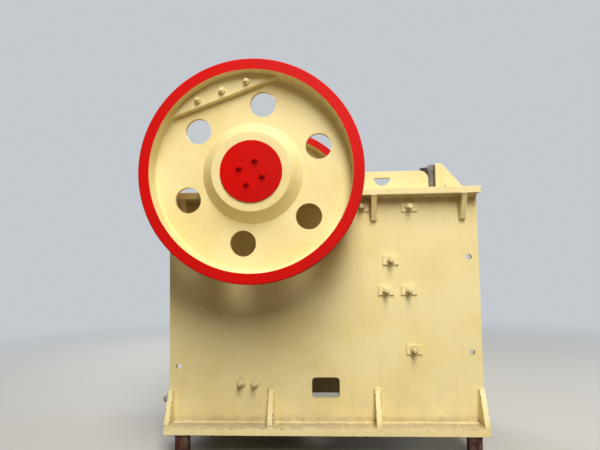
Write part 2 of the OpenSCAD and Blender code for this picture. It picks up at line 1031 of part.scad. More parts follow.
// Half section of a cast wheel: x is the radius, y runs across the width from its middle
module wheel_section() {
    half = rim_w / 2;
    hw = hub_w / 2;
    ww = web_t / 2;
    fillet = 20;
    soft = 5;
    difference() {
        union() {
            translate([rim_r, -half])
                square([rim_t, rim_w]);
            translate([hub_bore_r, -ww])
                square([rim_r - hub_bore_r + 1, web_t]);
            polygon([
                [hub_bore_r, -hw], [hub_face_d / 2, -hw], [hub_root_r, -ww],
                [hub_root_r, ww], [hub_face_d / 2, hw], [hub_bore_r, hw]
            ]);
            for (s = [0, 1])
                mirror([0, s])
                    difference() {
                        translate([rim_r - fillet, ww - 1])
                            square([fillet + 1, fillet + 1]);
                        translate([rim_r - fillet, ww + fillet])
                            circle(r = fillet, $fn = 48);
                    }
        }
        for (s = [-1, 1])
            polygon([
                [wheel_r - soft, s * (half + 1)], [wheel_r + 1, s * (half + 1)],
                [wheel_r + 1, s * (half - soft)], [wheel_r, s * (half - soft)],
                [wheel_r - soft, s * half]
            ]);
    }
}

module wheel() {
    color(cream)
        translate([0, -wheel_mid_y, 0])
            difference() {
                rotate([90, 0, 0])
                    rotate_extrude($fn = 180)
                        wheel_section();
                for (k = [0:web_holes - 1])
                    rotate([0, -web_hole_turn - k * 360 / web_holes, 0])
                        translate([web_hole_reach, 0, 0])
                            bar(web_hole_r, -hub_w, hub_w);
            }
}

module wheel_near() {
    on_axis()
        wheel();
}

module wheel_far() {
    on_axis()
        far_side()
            wheel();
}

module hub_caps() {
    on_axis()
        color(red)
            for (s = [-1, 1])
                translate([0, s * (hub_face_y + cap_t / 2), 0])
                    bar(cap_d / 2, -cap_t / 2, cap_t / 2);
}

// Segment of cast iron against the disc and inside the rim, beyond a straight edge
module weight_piece() {
    outer = rim_r - 0.3;
    ww = web_t / 2;
    face = ww + weight_t;
    intersection() {
        rotate([90, 0, 0])
            rotate_extrude($fn = 180)
                polygon([
                    [weight_chord - 20, ww], [outer - 21, ww], [outer, ww + 21],
                    [outer, face], [weight_chord - 20, face]
                ]);
        rotate([0, -weight_turn, 0])
            translate([weight_chord, -rim_w, -rim_r])
                cube([rim_r, 2 * rim_w, 2 * rim_r]);
    }
}

module weight_bolts() {
    reach = web_t / 2 + weight_t;
    rotate([0, -weight_turn, 0])
        for (k = [-1:1])
            translate([weight_bolt_reach, 0, k * weight_bolt_pitch]) {
                bar(weight_bolt_d / 2, -reach - 40, -reach + 1);
                translate([0, -reach, 0])
                    rotate([90, 0, 0])
                        cylinder(r = weight_bolt_d * 0.95, h = 24, $fn = 6);
            }
}

module wheel_weights() {
    weight_piece();
    weight_bolts();
    mirror([0, 1, 0]) {
        weight_piece();
        weight_bolts();
    }
}

module counterweights() {
    on_axis()
        color(cream)
            for (s = [0, 1])
                mirror([0, s, 0])
                    translate([0, -wheel_mid_y, 0])
                        wheel_weights();
}

side_plate_near();
side_plate_far();
top_flange_near();
top_flange_far();
base_flange_near();
base_flange_far();
base_gussets_near();
base_gussets_far();
flange_gussets_near();
flange_gussets_far();
front_wall();
front_ribs();
front_top_gussets();
rear_wall();
rear_ribs();
rear_top_beam();
toggle_block();
block_struts();
toggle_plate();
tension_rod();
rod_spring();
rod_fittings();
swing_jaw();
swing_jaw_liner();
liner_clamp();
fixed_jaw_liner();
liner_ledge();
cheek_plates_near();
cheek_plates_far();
bearing_saddle_near();
bearing_saddle_far();
bearing_cap_near();
bearing_cap_far();
bearing_covers();
main_bearings();
jaw_bearings();
plate_bolts_near();
plate_bolts_far();
support_posts();
shaft();
wheel_near();
wheel_far();
hub_caps();
counterweights();
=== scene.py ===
"""Finish of a jaw crusher: paint, cast and worn surfaces, weld beads and fasteners round its frame."""

import functools
import json
import math

import bmesh
import bpy
from mathutils import Matrix, Vector


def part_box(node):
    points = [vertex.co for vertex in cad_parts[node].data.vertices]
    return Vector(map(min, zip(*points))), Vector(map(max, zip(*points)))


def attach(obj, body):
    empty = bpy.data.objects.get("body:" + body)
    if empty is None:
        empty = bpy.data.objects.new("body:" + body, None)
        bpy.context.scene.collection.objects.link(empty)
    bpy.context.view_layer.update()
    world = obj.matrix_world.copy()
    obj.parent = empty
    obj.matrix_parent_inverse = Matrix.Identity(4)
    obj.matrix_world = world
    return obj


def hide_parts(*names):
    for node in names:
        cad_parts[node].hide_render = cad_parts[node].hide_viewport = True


bl_info = {
    "name": "Jaw Crusher Finish",
    "version": (1, 0, 0),
    "blender": (4, 5, 0),
    "location": "3D View > Sidebar > Crusher",
    "description": "Paint, castings, weld beads and fasteners of a jaw crusher",
    "category": "Object",
}

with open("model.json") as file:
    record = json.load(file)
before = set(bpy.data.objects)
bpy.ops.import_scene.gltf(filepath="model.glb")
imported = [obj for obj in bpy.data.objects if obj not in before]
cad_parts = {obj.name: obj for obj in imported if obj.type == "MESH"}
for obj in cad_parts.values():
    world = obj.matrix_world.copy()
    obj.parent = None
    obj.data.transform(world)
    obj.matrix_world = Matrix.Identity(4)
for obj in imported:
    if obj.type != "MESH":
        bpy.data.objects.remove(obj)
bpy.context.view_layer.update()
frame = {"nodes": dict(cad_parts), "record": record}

# Places that the finish takes from the frame
PLATE_LOW, PLATE_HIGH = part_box("side_plate_near")
BASE_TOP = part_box("base_flange_near")[1].z
FLANGE_LOW, FLANGE_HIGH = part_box("top_flange_near")
WALL_LOW, WALL_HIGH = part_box("front_wall")
REAR_LOW, REAR_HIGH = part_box("rear_wall")
AXIS = sum((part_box("hub_caps")[k] for k in (0, 1)), Vector()) / 2
CAP_FACE = -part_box("hub_caps")[0].y
COVER_FACE = -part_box("bearing_covers")[0].y
COVER_R = (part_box("bearing_covers")[1].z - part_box("bearing_covers")[0].z) / 2
EAR_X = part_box("bearing_cap_near")[1].x - AXIS.x
OUTER_Y = -PLATE_LOW.y
INNER_Y = -PLATE_HIGH.y
WHEEL_R = (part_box("wheel_near")[1].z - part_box("wheel_near")[0].z) / 2
WHEEL_BODY, FRAME_BODY = "rotor", "frame"

# Sizes of single details in metres, and the angle of the first cover bolt
WASHER_PLATE_LENGTH, WASHER_PLATE_THICK = 0.09, 0.012
FRONT_HOLE_INSET, FRONT_HOLE_RIM, FRONT_HOLE_DROP = 0.069, 0.030, 0.056
RIM_FACE = 0.069
# How far the dirt and painted shade reach up from the base flange, down from the top flange and out over the
# base flange
GRIME_SHADE_UP, GRIME_SHADE_DOWN, GRIME_SHADE_OUT = 0.07, 0.10, 0.16
COVER_BOLT_INSET, COVER_BOLT_TURN = 0.026, math.radians(22.5)
HOUSING_BOLT_INSET, HOUSING_BOLT_HEIGHT, HOUSING_BOLTS_OUT = 0.042, 0.06, (0.055, 0.160)

# Each kind of bolt: radius and height of its head, of its washer and of the stud's end
BOLT_SIZES = {
    "cheek": (0.026, 0.022, 0.0275, 0.002, 0.0145, 0.038),
    "block": (0.031, 0.028, 0.036, 0.005, 0.0150, 0.052),
    "cover": (0.0139, 0.010, 0.015, 0.003, 0.0075, 0.0016),
    "housing": (0.029, 0.026, 0.033, 0.005, 0.0155, 0.028),
    "cap": (0.0195, 0.017, 0.0205, 0.003, 0.0105, 0.009),
}
BOLT_INPUTS = ("Head radius", "Head height", "Washer radius", "Washer height", "Stud radius", "Stud height")
BOLT_LAP = 0.0004  # how far each part of a bolt reaches into the one under it

# Shape of a bolt: shares of the head's and the stud's sizes, and the sides of each part
HEAD_FLAT, HEAD_LIP, HEAD_SHOULDER, HEAD_CROWN = 0.84, 0.16, 0.98, 0.86
THREAD_DEPTH, TIP_START, TIP_DEPTH = 0.085, 0.96, 0.14
WASHER_SIDES, HEAD_SIDES, STUD_SIDES = 28, 6, 24

# Weld beads: section, ends and shares of the seam's leg
BEAD_SIDES, BEAD_SHIFT, BEAD_SECTION, BEAD_UNEVEN = 9, (0.32, 0.0, 0.0), (0.42, 0.74, 1.0), 4.0
GUSSET_COPE, BEAD_INSET, END_MARGIN = 0.025, 0.006, 0.01
EAR_CLEARANCE, HOUSING_BORE, HUMP_SETBACK = 0.012, 0.19, 0.052
UNDER_FLANGE_LEG, ON_FLANGE_LEG = 0.8, 0.45
RIB_CORNER, SHORTEST_SEAM, POST_BEAD_DROP = 0.005, 0.02, 1.4

# Meshes: the distance within which points are one, and the angles of flat, sharp and smooth joins
MERGE_DISTANCE = 0.00005
FLAT_ANGLE, SHARP_ANGLE, SMOOTH_ANGLE, BOLT_ANGLE = (math.radians(angle) for angle in (0.4, 38, 34, 30))

# Gloss and depth of the surfaces
PAINT_SPECULAR, WHEEL_SPECULAR, RED_SPECULAR = 0.25, 0.12, 0.1
PAINT_RELIEF, CASTING_RELIEF, LINER_RELIEF, TURNED_RELIEF = 0.0009, 0.0016, 0.0014, 0.0002
RELIEF_STRENGTH = 0.6

# Camera as in the photograph, floor, backdrop and soft light
CAMERA_PLACE = (0.2051, -4.1806, 1.3506)
CAMERA_YAW, CAMERA_PITCH, CAMERA_ROLL = -0.0664, 0.0705, -0.0156
CAMERA_LENS, CAMERA_SENSOR = 31.2, 36.0
CLIP_START, CLIP_END = 0.05, 200.0
FADE_START, FADE_END = 2.5, 9.0
FLOOR_RADIUS, FLOOR_ROUGHNESS, FLOOR_CLOUD = 40.0, 0.85, (0.4, 0.4, 0.4, 1.0)
AMBIENT_COLOUR, AMBIENT_STRENGTH = (1.0, 0.80, 0.42, 1.0), 0.05
WARM_LIGHT, COOL_LIGHT = (1.0, 0.98, 0.94), (0.96, 0.98, 1.0)

# Each light: place, target, width, height, power and colour
LIGHTS = {
    "key": ((1.95, -8.8, 9.75), (0.1, -0.7, 1.2), 3.6, 9.8, 1930.0, WARM_LIGHT),
    "overhead": ((0.6, -2.4, 7.4), (0.3, -0.5, 1.2), 4.5, 4.5, 60.0, WARM_LIGHT),
    "rear_fill": ((-2.5, 5.5, 4.5), (0.0, 0.0, 1.0), 4.0, 4.0, 260.0, COOL_LIGHT),
    "end_fill": ((7.0, 1.5, 3.0), (0.0, 0.0, 1.0), 3.0, 3.0, 150.0, COOL_LIGHT),
}


# Settings


def coloured(name, default, description):
    return bpy.props.FloatVectorProperty(
        name=name, description=description, default=default,
        subtype="COLOR_GAMMA", size=3, min=0.0, max=1.0,
    )


def length(name, default, description, low=0.0, high=1.0):
    return bpy.props.FloatProperty(
        name=name, description=description, default=default,
        subtype="DISTANCE", unit="LENGTH", min=low, max=high, precision=4,
    )


def count(name, default, description, low, high):
    return bpy.props.IntProperty(name=name, description=description, default=default, min=low, max=high)


class CrusherColours(bpy.types.PropertyGroup):
    """Colours as they look on a screen"""

    cream: coloured("Cream", (0.925, 0.864, 0.645), "Top coat of the frame and the wheels")
    cream_shade: coloured("Cream shade", (0.86, 0.765, 0.47), "Thinner and older patches of the top coat")
    red: coloured("Red", (0.80, 0.035, 0.015), "Rim faces and hub caps")
    red_shade: coloured("Red shade", (0.66, 0.03, 0.02), "Patches in the red")
    tread: coloured("Tread", (0.17, 0.165, 0.18), "Turned tread of the wheels")
    # The primer and its patches are darker than the primer itself: painted shade for the shade under the base
    # flanges
    oxide: coloured("Oxide", (0.23, 0.07, 0.055), "Primer of the posts")
    oxide_shade: coloured("Oxide shade", (0.14, 0.05, 0.045), "Patches in the primer")
    casting: coloured("Casting", (0.26, 0.26, 0.265), "Unpainted castings")
    casting_shade: coloured("Casting shade", (0.16, 0.155, 0.155), "Hollows of the castings")
    liner: coloured("Liner", (0.46, 0.44, 0.42), "Manganese steel liners")
    liner_edge: coloured("Liner edge", (0.54, 0.52, 0.50), "Rubbed edges of the liners")
    bare: coloured("Bare steel", (0.66, 0.65, 0.63), "Turned and ground steel")
    rust: coloured("Rust", (0.30, 0.19, 0.12), "Where a coat has gone")
    dust: coloured("Dust", (0.68, 0.62, 0.53), "Dust on what faces up")
    # Brown of the dirt and of the painted shade along the flanges; the bolts' patches use it as dirt
    grime: coloured("Grime", (0.50, 0.41, 0.27), "Dirt in the corners")
    spring: coloured("Spring", (0.10, 0.10, 0.11), "Spring paint")
    floor: coloured("Floor", (0.74, 0.735, 0.72), "Studio floor")
    floor_bounce: coloured("Floor bounce", (0.50, 0.46, 0.40), "Light that the floor gives back")
    background: coloured("Background", (0.77, 0.79, 0.81), "What the camera sees behind")


class CrusherSizes(bpy.types.PropertyGroup):
    """Sizes that the finish uses"""

    edge_round: length("Edge rounding", 0.003, "Width of the broken edges of plates", high=0.01)
    seam_leg: length("Seam leg", 0.020, "Leg of the long fillet welds", high=0.04)
    gusset_leg: length("Gusset leg", 0.013, "Leg of the fillet welds round gussets", high=0.03)
    rib_leg: length("Rib leg", 0.011, "Leg of the fillet welds at the ribs", high=0.03)
    post_reach: length("Post weld leg", 0.009, "Leg of the welds at the posts' heads", high=0.03)
    ripple_pitch: length("Ripple pitch", 0.011, "Spacing of the ripples along a weld", high=0.05)
    ripple_depth: bpy.props.FloatProperty(
        name="Ripple depth", description="Depth of the ripples as a share of the leg", default=0.10,
        subtype="FACTOR", min=0.0, max=1.0,
    )
    bead_step: length("Bead step", 0.0037, "Spacing of the sections along a weld", low=0.001, high=0.05)
    cap_bolt_circle: length("Cap bolt circle", 0.077, "Radius on which the hub cap's bolts lie")
    cap_bolt_turn: bpy.props.FloatProperty(
        name="Cap bolt turn", description="Angle of the first hub cap bolt", default=math.radians(70),
        subtype="ANGLE", unit="ROTATION",
    )
    cap_bolts: count("Cap bolts", 4, "Bolts on a hub cap", 3, 12)
    cover_bolts: count("Cover bolts", 8, "Bolts on a bearing cover", 4, 16)


def sizes():
    return bpy.context.scene.crusher_sizes


def linear(colour):
    """A screen colour as the shaders count it."""
    return tuple(c / 12.92 if c <= 0.04045 else ((c + 0.055) / 1.055) ** 2.4 for c in colour) + (1.0,)


def tint(name):
    return linear(getattr(bpy.context.scene.crusher_colours, name))


# Nodes


class Signal:
    """A socket that gives a value. A sum or a product with it adds the node that works it out."""

    def __init__(self, socket):
        self.socket = socket
        self.tree = socket.id_data

    def __add__(self, other):
        return calc("ADD", self, other)

    def __sub__(self, other):
        return calc("SUBTRACT", self, other)

    def __rsub__(self, other):
        return calc("SUBTRACT", other, self)

    def __mul__(self, other):
        return calc("MULTIPLY", self, other)

    def __truediv__(self, other):
        return calc("DIVIDE", self, other)

    def clamped(self):
        """The same value, held between 0 and 1 by the node that works it out."""
        self.socket.node.use_clamp = True
        return self


def fill(node, inputs):
    """Gives each input of a node its value or its link."""
    for key, value in inputs.items():
        if isinstance(value, Signal):
            value.tree.links.new(value.socket, node.inputs[key])
        else:
            node.inputs[key].default_value = value


def new_node(tree, kind, inputs, settings):
    made = tree.nodes.new(kind)
    for key, value in settings.items():
        setattr(made, key, value)
    fill(made, inputs or {})
    return made


def outputs_of(tree, kind, inputs=None, **settings):
    """Adds a node, and returns its outputs by name."""
    return {each.name: Signal(each) for each in new_node(tree, kind, inputs, settings).outputs}


def signal(tree, kind, inputs=None, output=0, **settings):
    """Adds a node, and returns one of its outputs."""
    return Signal(new_node(tree, kind, inputs, settings).outputs[output])


def calc(operation, *values):
    tree = next(value.tree for value in values if isinstance(value, Signal))
    return signal(tree, "ShaderNodeMath", dict(enumerate(values)), operation=operation)


def larger(first, second):
    return calc("MAXIMUM", first, second)


def span(value, low, high, out_low=0.0, out_high=1.0):
    """Maps low..high smoothly to out_low..out_high."""
    inputs = {"Value": value, "From Min": low, "From Max": high, "To Min": out_low, "To Max": out_high}
    return signal(value.tree, "ShaderNodeMapRange", inputs, interpolation_type="SMOOTHSTEP")


def mixed(factor, first, second):
    return signal(factor.tree, "ShaderNodeMix", {0: factor, 6: first, 7: second}, 2, data_type="RGBA")


def noise(place, scale, detail, roughness):
    inputs = {"Vector": place, "Scale": scale, "Detail": detail, "Roughness": roughness}
    return signal(place.tree, "ShaderNodeTexNoise", inputs)


def cells(place, scale):
    """Distance to the nearest of many scattered points."""
    return signal(place.tree, "ShaderNodeTexVoronoi", {"Vector": place, "Scale": scale}, "Distance")


def stretched(place, scale):
    return signal(place.tree, "ShaderNodeMapping", {"Vector": place, "Scale": scale})


def object_place(tree):
    return signal(tree, "ShaderNodeTexCoord", output="Object")


def object_normal(tree):
    return signal(tree, "ShaderNodeTexCoord", output="Normal")


def along(letter, vector):
    """The X, Y or Z of a vector."""
    return signal(vector.tree, "ShaderNodeSeparateXYZ", {0: vector}, letter)


def raised(height, depth):
    """The normals of a surface with this relief."""
    inputs = {"Height": height, "Distance": depth, "Strength": RELIEF_STRENGTH}
    return signal(height.tree, "ShaderNodeBump", inputs)


COLOUR, NUMBER, SHAPE = "NodeSocketColor", "NodeSocketFloat", "NodeSocketGeometry"


def new_tree(kind, name, inputs, outputs):
    """An empty node group with its sockets: (tree, what it is given by name, output node)."""
    tree = bpy.data.node_groups.new(name, kind)
    for label, socket, default in inputs:
        made = tree.interface.new_socket(label, in_out="INPUT", socket_type=socket)
        if default is not None:
            made.default_value = default
    for label, socket in outputs:
        tree.interface.new_socket(label, in_out="OUTPUT", socket_type=socket)
    return tree, outputs_of(tree, "NodeGroupInput"), tree.nodes.new("NodeGroupOutput")


# Effects that several finishes share


@functools.cache
def coat_tone():
    """Patches, runs and orange peel of a brushed or sprayed coat."""
    tree, given, end = new_tree(
        "ShaderNodeTree", "Coat tone",
        [
            ("Colour", COLOUR, (1, 1, 1, 1)), ("Shade", COLOUR, (0.5, 0.5, 0.5, 1)),
            ("Patches", NUMBER, 0.4), ("Runs", NUMBER, 0.2), ("Peel", NUMBER, 0.3),
        ],
        [("Colour", COLOUR), ("Height", NUMBER), ("Variation", NUMBER)],
    )
    place = object_place(tree)
    patch = span(noise(place, 2.3, 5.0, 0.6), 0.38, 0.72)
    speck = span(noise(place, 21.0, 4.0, 0.65), 0.52, 0.78)
    run = span(noise(stretched(place, (19.0, 19.0, 1.1)), 1.0, 3.0, 0.6), 0.5, 0.8)
    amount = ((patch + speck * 0.35) * given["Patches"] + run * given["Runs"]).clamped()
    fine = noise(place, 260.0, 2.0, 0.5)
    broad = noise(place, 34.0, 2.0, 0.5)
    height = fine * given["Peel"] + broad * 0.6
    colour = mixed(amount, given["Colour"], given["Shade"])
    fill(end, {"Colour": colour, "Height": height, "Variation": patch})
    return tree


@functools.cache
def edge_wear():
    """Chips along the broken edges, and a few on the faces."""
    tree, given, end = new_tree(
        "ShaderNodeTree", "Edge wear",
        [
            ("Colour", COLOUR, (1, 1, 1, 1)), ("Under", COLOUR, (0.1, 0.06, 0.04, 1)),
            ("Amount", NUMBER, 0.3), ("Spots", NUMBER, 0.0),
        ],
        [("Colour", COLOUR), ("Mask", NUMBER)],
    )
    place = object_place(tree)
    edge = signal(tree, "ShaderNodeAttribute", output="Fac", attribute_name="worn_edge")
    chip = span(noise(place, 38.0, 5.0, 0.7) - (0.78 - given["Amount"] * 0.45), 0.0, 0.03)
    blot = cells(place, 9.0) + noise(place, 90.0, 3.0, 0.6) * 0.11
    spot = span(blot, 0.12, 0.10) * given["Spots"]
    mask = larger(edge * chip, spot).clamped()
    fill(end, {"Colour": mixed(mask, given["Colour"], given["Under"]), "Mask": mask})
    return tree


@functools.cache
def settled_dust():
    """Dust on faces that look up, thicker where it lies low, and a splashed foot."""
    tree, given, end = new_tree(
        "ShaderNodeTree", "Settled dust",
        [
            ("Colour", COLOUR, (1, 1, 1, 1)), ("Dust", COLOUR, (0.4, 0.3, 0.2, 1)),
            ("Top", NUMBER, 0.5), ("Foot", NUMBER, 0.3), ("Foot height", NUMBER, 0.5),
        ],
        [("Colour", COLOUR), ("Mask", NUMBER)],
    )
    place = object_place(tree)
    level = span(along("Z", object_normal(tree)), 0.45, 0.9)
    loose = span(noise(place, 11.0, 5.0, 0.62), 0.25, 0.7, 0.45, 1.0)
    low = span(along("Z", place), given["Foot height"], 0.16)
    splash = span(noise(place, 6.0, 6.0, 0.68), 0.42, 0.68)
    mask = larger(level * loose * given["Top"], low * splash * given["Foot"]).clamped()
    fill(end, {"Colour": mixed(mask, given["Colour"], given["Dust"]), "Mask": mask})
    return tree


@functools.cache
def seam_grime_and_shade():
    """Dirt and painted shade along the seams: darker under the top flange, over the base flange and on the
    base flange's top by the plate.
    """
    tree, given, end = new_tree(
        "ShaderNodeTree", "Grime",
        [("Colour", COLOUR, (1, 1, 1, 1)), ("Grime", COLOUR, (0.2, 0.14, 0.08, 1)), ("Amount", NUMBER, 0.5)],
        [("Colour", COLOUR), ("Mask", NUMBER)],
    )
    place = object_place(tree)
    upright = span(calc("ABSOLUTE", along("Z", object_normal(tree))), 0.6, 0.3)
    z = along("Z", place)
    out = calc("ABSOLUTE", along("Y", place)) - OUTER_Y
    above = z - BASE_TOP
    below = FLANGE_LOW.z - z
    # Painted shade with the dirt: the colour darkens within a few centimetres of each flange, where the
    # flange shades the plate
    foot = span(above, GRIME_SHADE_UP, 0.004) * calc("GREATER_THAN", above, 0.001)
    head = span(below, GRIME_SHADE_DOWN, 0.004) * calc("GREATER_THAN", below, -0.001)
    wall = larger(foot, head) * upright
    level = span(calc("ABSOLUTE", above), 0.012, 0.002) * (1.0 - upright)
    shelf = span(out, GRIME_SHADE_OUT, 0.02) * level
    ragged = span(noise(place, 17.0, 6.0, 0.68), 0.32, 0.66, 0.25, 1.0)
    outside = calc("GREATER_THAN", out, -0.003)
    mask = (larger(wall, shelf) * (ragged * outside) * given["Amount"]).clamped()
    fill(end, {"Colour": mixed(mask, given["Colour"], given["Grime"]), "Mask": mask})
    return tree


@functools.cache
def cast_skin():
    """Height of a sand casting: coarse skin with pits."""
    tree, given, end = new_tree(
        "ShaderNodeTree", "Cast skin",
        [("Coarse", NUMBER, 1.0), ("Pits", NUMBER, 0.5)],
        [("Height", NUMBER), ("Hollow", NUMBER)],
    )
    place = object_place(tree)
    skin = noise(place, 75.0, 5.0, 0.65)
    swell = noise(place, 9.0, 2.0, 0.5)
    pit = span(cells(place, 46.0), 0.16, 0.02)
    height = skin * given["Coarse"] + swell * 2.2 - pit * given["Pits"]
    fill(end, {"Height": height, "Hollow": span(skin, 0.5, 0.25)})
    return tree


def use(tree, effect, **inputs):
    """Places an effect and returns its outputs by name; foot_height fills the input Foot height."""
    named = {key.replace("_", " ").capitalize(): value for key, value in inputs.items()}
    return outputs_of(tree, "ShaderNodeGroup", named, node_tree=effect())


# Finishes


def new_material(name):
    """An empty material with its surface shader: (material, tree, shader)."""
    made = bpy.data.materials.new(name)
    made.use_nodes = True
    tree = made.node_tree
    tree.nodes.clear()
    shader = tree.nodes.new("ShaderNodeBsdfPrincipled")
    fill(tree.nodes.new("ShaderNodeOutputMaterial"), {"Surface": Signal(shader.outputs[0])})
    return made, tree, shader


def coat(name, colour, shade, patches=0.45, runs=0.18, wear=0.25, spots=0.0, top=0.35, foot=0.0,
         foot_height=0.6, gloss=0.36, cast=0.0, specular=PAINT_SPECULAR, grime=0.0):
    """A painted surface: tone, chips at the edges, dirt with painted shade along the flanges, dust, and a
    cast skin where cast is above 0.
    """
    made, tree, shader = new_material(name)
    tone = use(tree, coat_tone, colour=tint(colour), shade=tint(shade), patches=patches, runs=runs, peel=0.3)
    worn = use(tree, edge_wear, colour=tone["Colour"], under=tint("rust"), amount=wear, spots=spots)
    dirt_and_shade = worn["Colour"]
    # Where asked, dirt and painted shade along the flanges darken the colour
    if grime:
        dirt_and_shade = use(tree, seam_grime_and_shade, colour=dirt_and_shade, grime=tint("grime"), amount=grime)["Colour"]
    dusty = use(tree, settled_dust, colour=dirt_and_shade, dust=tint("dust"), top=top, foot=foot,
                foot_height=foot_height)
    height = tone["Height"] - worn["Mask"] * 1.2
    if cast:
        height = height + use(tree, cast_skin, coarse=cast, pits=cast * 0.5)["Height"] * 1.6
    fill(shader, {
        "Base Color": dusty["Colour"],
        "Roughness": tone["Variation"] * 0.1 + gloss + larger(worn["Mask"], dusty["Mask"]) * 0.4,
        "Normal": raised(height, PAINT_RELIEF),
        "Specular IOR Level": specular,
    })
    return made


def wheel_coat(name):
    """Cream cast disc, red rim faces with a hand-cut edge, dark turned tread."""
    made, tree, shader = new_material(name)
    place = object_place(tree)
    offset = signal(tree, "ShaderNodeVectorMath", {0: place, 1: AXIS}, operation="SUBTRACT")
    x = along("X", offset)
    z = along("Z", offset)
    reach = calc("SQRT", x * x + z * z)
    side = calc("ABSOLUTE", along("Y", object_normal(tree)))
    rim = WHEEL_R - RIM_FACE
    edge = reach + (noise(place, 16.0, 4.0, 0.6) - 0.5) * 0.004
    red = span(edge, rim - 0.0012, rim + 0.0008) * span(side, 0.35, 0.5)
    tread = span(reach, WHEEL_R - 0.004, WHEEL_R - 0.002) * span(side, 0.5, 0.35)
    cream, ring = (
        use(tree, coat_tone, colour=tint(tone), shade=tint(tone + "_shade"), patches=patches, runs=0.0,
            peel=0.25)
        for tone, patches in (("cream", 0.5), ("red", 0.4))
    )
    lines = noise(stretched(place, (1.0, 900.0, 1.0)), 1.0, 2.0, 0.5)
    steel = mixed(span(lines, 0.3, 0.7), tint("tread"), tint("casting_shade"))
    colour = mixed(tread, mixed(red, cream["Colour"], ring["Colour"]), steel)
    worn = use(tree, edge_wear, colour=colour, under=tint("rust"), amount=0.22, spots=0.0)
    skin = use(tree, cast_skin, coarse=1.0, pits=0.4)["Height"]
    height = cream["Height"] + skin * (1.0 - larger(tread, red * 0.7)) + lines * tread * 0.8
    fill(shader, {
        "Base Color": worn["Colour"],
        "Roughness": cream["Variation"] * 0.1 + 0.36 + worn["Mask"] * 0.3 + red * 0.14,
        "Normal": raised(height, PAINT_RELIEF),
        "Specular IOR Level": WHEEL_SPECULAR,
    })
    return made


def dark_casting(name):
    """Unpainted dark casting with a coarse skin."""
    made, tree, shader = new_material(name)
    skin = use(tree, cast_skin, coarse=1.4, pits=0.8)
    colour = mixed(skin["Hollow"], tint("casting"), tint("casting_shade"))
    rusty = span(noise(object_place(tree), 5.0, 6.0, 0.68), 0.5, 0.75, 0.0, 0.5)
    colour = mixed(rusty, colour, tint("rust"))
    worn = use(tree, edge_wear, colour=colour, under=tint("liner"), amount=0.5, spots=0.0)
    dusty = use(tree, settled_dust, colour=worn["Colour"], dust=tint("dust"), top=0.5, foot=0.0,
                foot_height=0.5)
    fill(shader, {
        "Base Color": dusty["Colour"],
        "Roughness": skin["Hollow"] * 0.2 + 0.62,
        "Normal": raised(skin["Height"], CASTING_RELIEF),
    })
    return made


def liner_steel(name):
    """Manganese steel as cast: scaly grey with rust in its hollows."""
    made, tree, shader = new_material(name)
    place = object_place(tree)
    scale = span(noise(place, 13.0, 7.0, 0.7), 0.35, 0.68)
    rusty = span(noise(place, 4.0, 7.0, 0.72), 0.45, 0.7, 0.0, 0.75)
    colour = mixed(rusty, mixed(scale, tint("liner"), tint("casting")), tint("rust"))
    worn = use(tree, edge_wear, colour=colour, under=tint("liner_edge"), amount=0.5, spots=0.0)
    fill(shader, {
        "Base Color": worn["Colour"],
        "Roughness": rusty * 0.3 + 0.45,
        "Metallic": (1.0 - rusty) * 0.55,
        "Normal": raised(use(tree, cast_skin, coarse=1.2, pits=1.0)["Height"], LINER_RELIEF),
    })
    return made


def bare_steel(name):
    """Turned steel with fine lines round it and a brown bloom."""
    made, tree, shader = new_material(name)
    place = object_place(tree)
    lines = noise(stretched(place, (500.0, 500.0, 20.0)), 1.0, 2.0, 0.5)
    bloom = span(noise(place, 7.0, 6.0, 0.68), 0.48, 0.72, 0.0, 0.7)
    colour = mixed(bloom, tint("bare"), tint("rust"))
    worn = use(tree, edge_wear, colour=colour, under=tint("bare"), amount=0.6, spots=0.0)
    fill(shader, {
        "Base Color": worn["Colour"],
        "Roughness": bloom * 0.35 + 0.32,
        "Metallic": 1.0 - bloom,
        "Normal": raised(lines, TURNED_RELIEF),
    })
    return made


CREAM = {"colour": "cream", "shade": "cream_shade"}
# The cream coats of the plates, the base flanges and the welds carry dirt and painted shade along the
# flanges; the bolts' patches are dirt
COATS = {
    "cream_plate": dict(CREAM, foot=0.25, foot_height=0.75, grime=0.55),
    "cream_base": dict(CREAM, patches=0.35, wear=0.5, spots=0.1, top=0.8, foot=0.1, foot_height=0.4,
                       gloss=0.42, grime=0.6),
    "cream_casting": dict(CREAM, runs=0.0, cast=1.0, top=0.45),
    "cream_weld": dict(CREAM, patches=0.8, runs=0.0, wear=0.0, top=0.9, foot=0.15, grime=0.6),
    "cream_bolt": dict(colour="cream", shade="grime", patches=0.75, runs=0.0, top=0.4, gloss=0.4,
                       specular=0.4),
    "cream_weight": dict(CREAM, runs=0.0, cast=0.8, top=0.0),
    "red_cap": dict(colour="red", shade="red_shade", runs=0.0, wear=0.3, top=0.0, gloss=0.34,
                    specular=RED_SPECULAR),
    # The posts' primer, darkened as painted shade under the base flanges
    "oxide_post": dict(colour="oxide", shade="oxide_shade", patches=0.5, wear=0.5, spots=0.15, top=0.3,
                       foot=0.35, foot_height=0.22, gloss=0.6),
    "spring_paint": dict(colour="spring", shade="casting_shade", wear=0.0, top=0.4, gloss=0.4),
}
OTHER_FINISHES = {
    "wheel_coat": wheel_coat, "dark_casting": dark_casting,
    "liner_steel": liner_steel, "bare_steel": bare_steel,
}


@functools.cache
def material(name):
    """The finish of that name, built at its first use."""
    return coat(name, **COATS[name]) if name in COATS else OTHER_FINISHES[name](name)


# Meshes and pieces


def new_object(name, data):
    made = bpy.data.objects.new(name, data)
    bpy.context.scene.collection.objects.link(made)
    return made


def place_piece(name, mesh, body):
    """A new piece from a mesh that is already in place."""
    made = new_object(name, mesh)
    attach(made, body)
    return made


def body_of(node):
    groups = frame["record"]["behaviour"]["bodies"]
    return next(body for body, members in groups.items() if node in members)


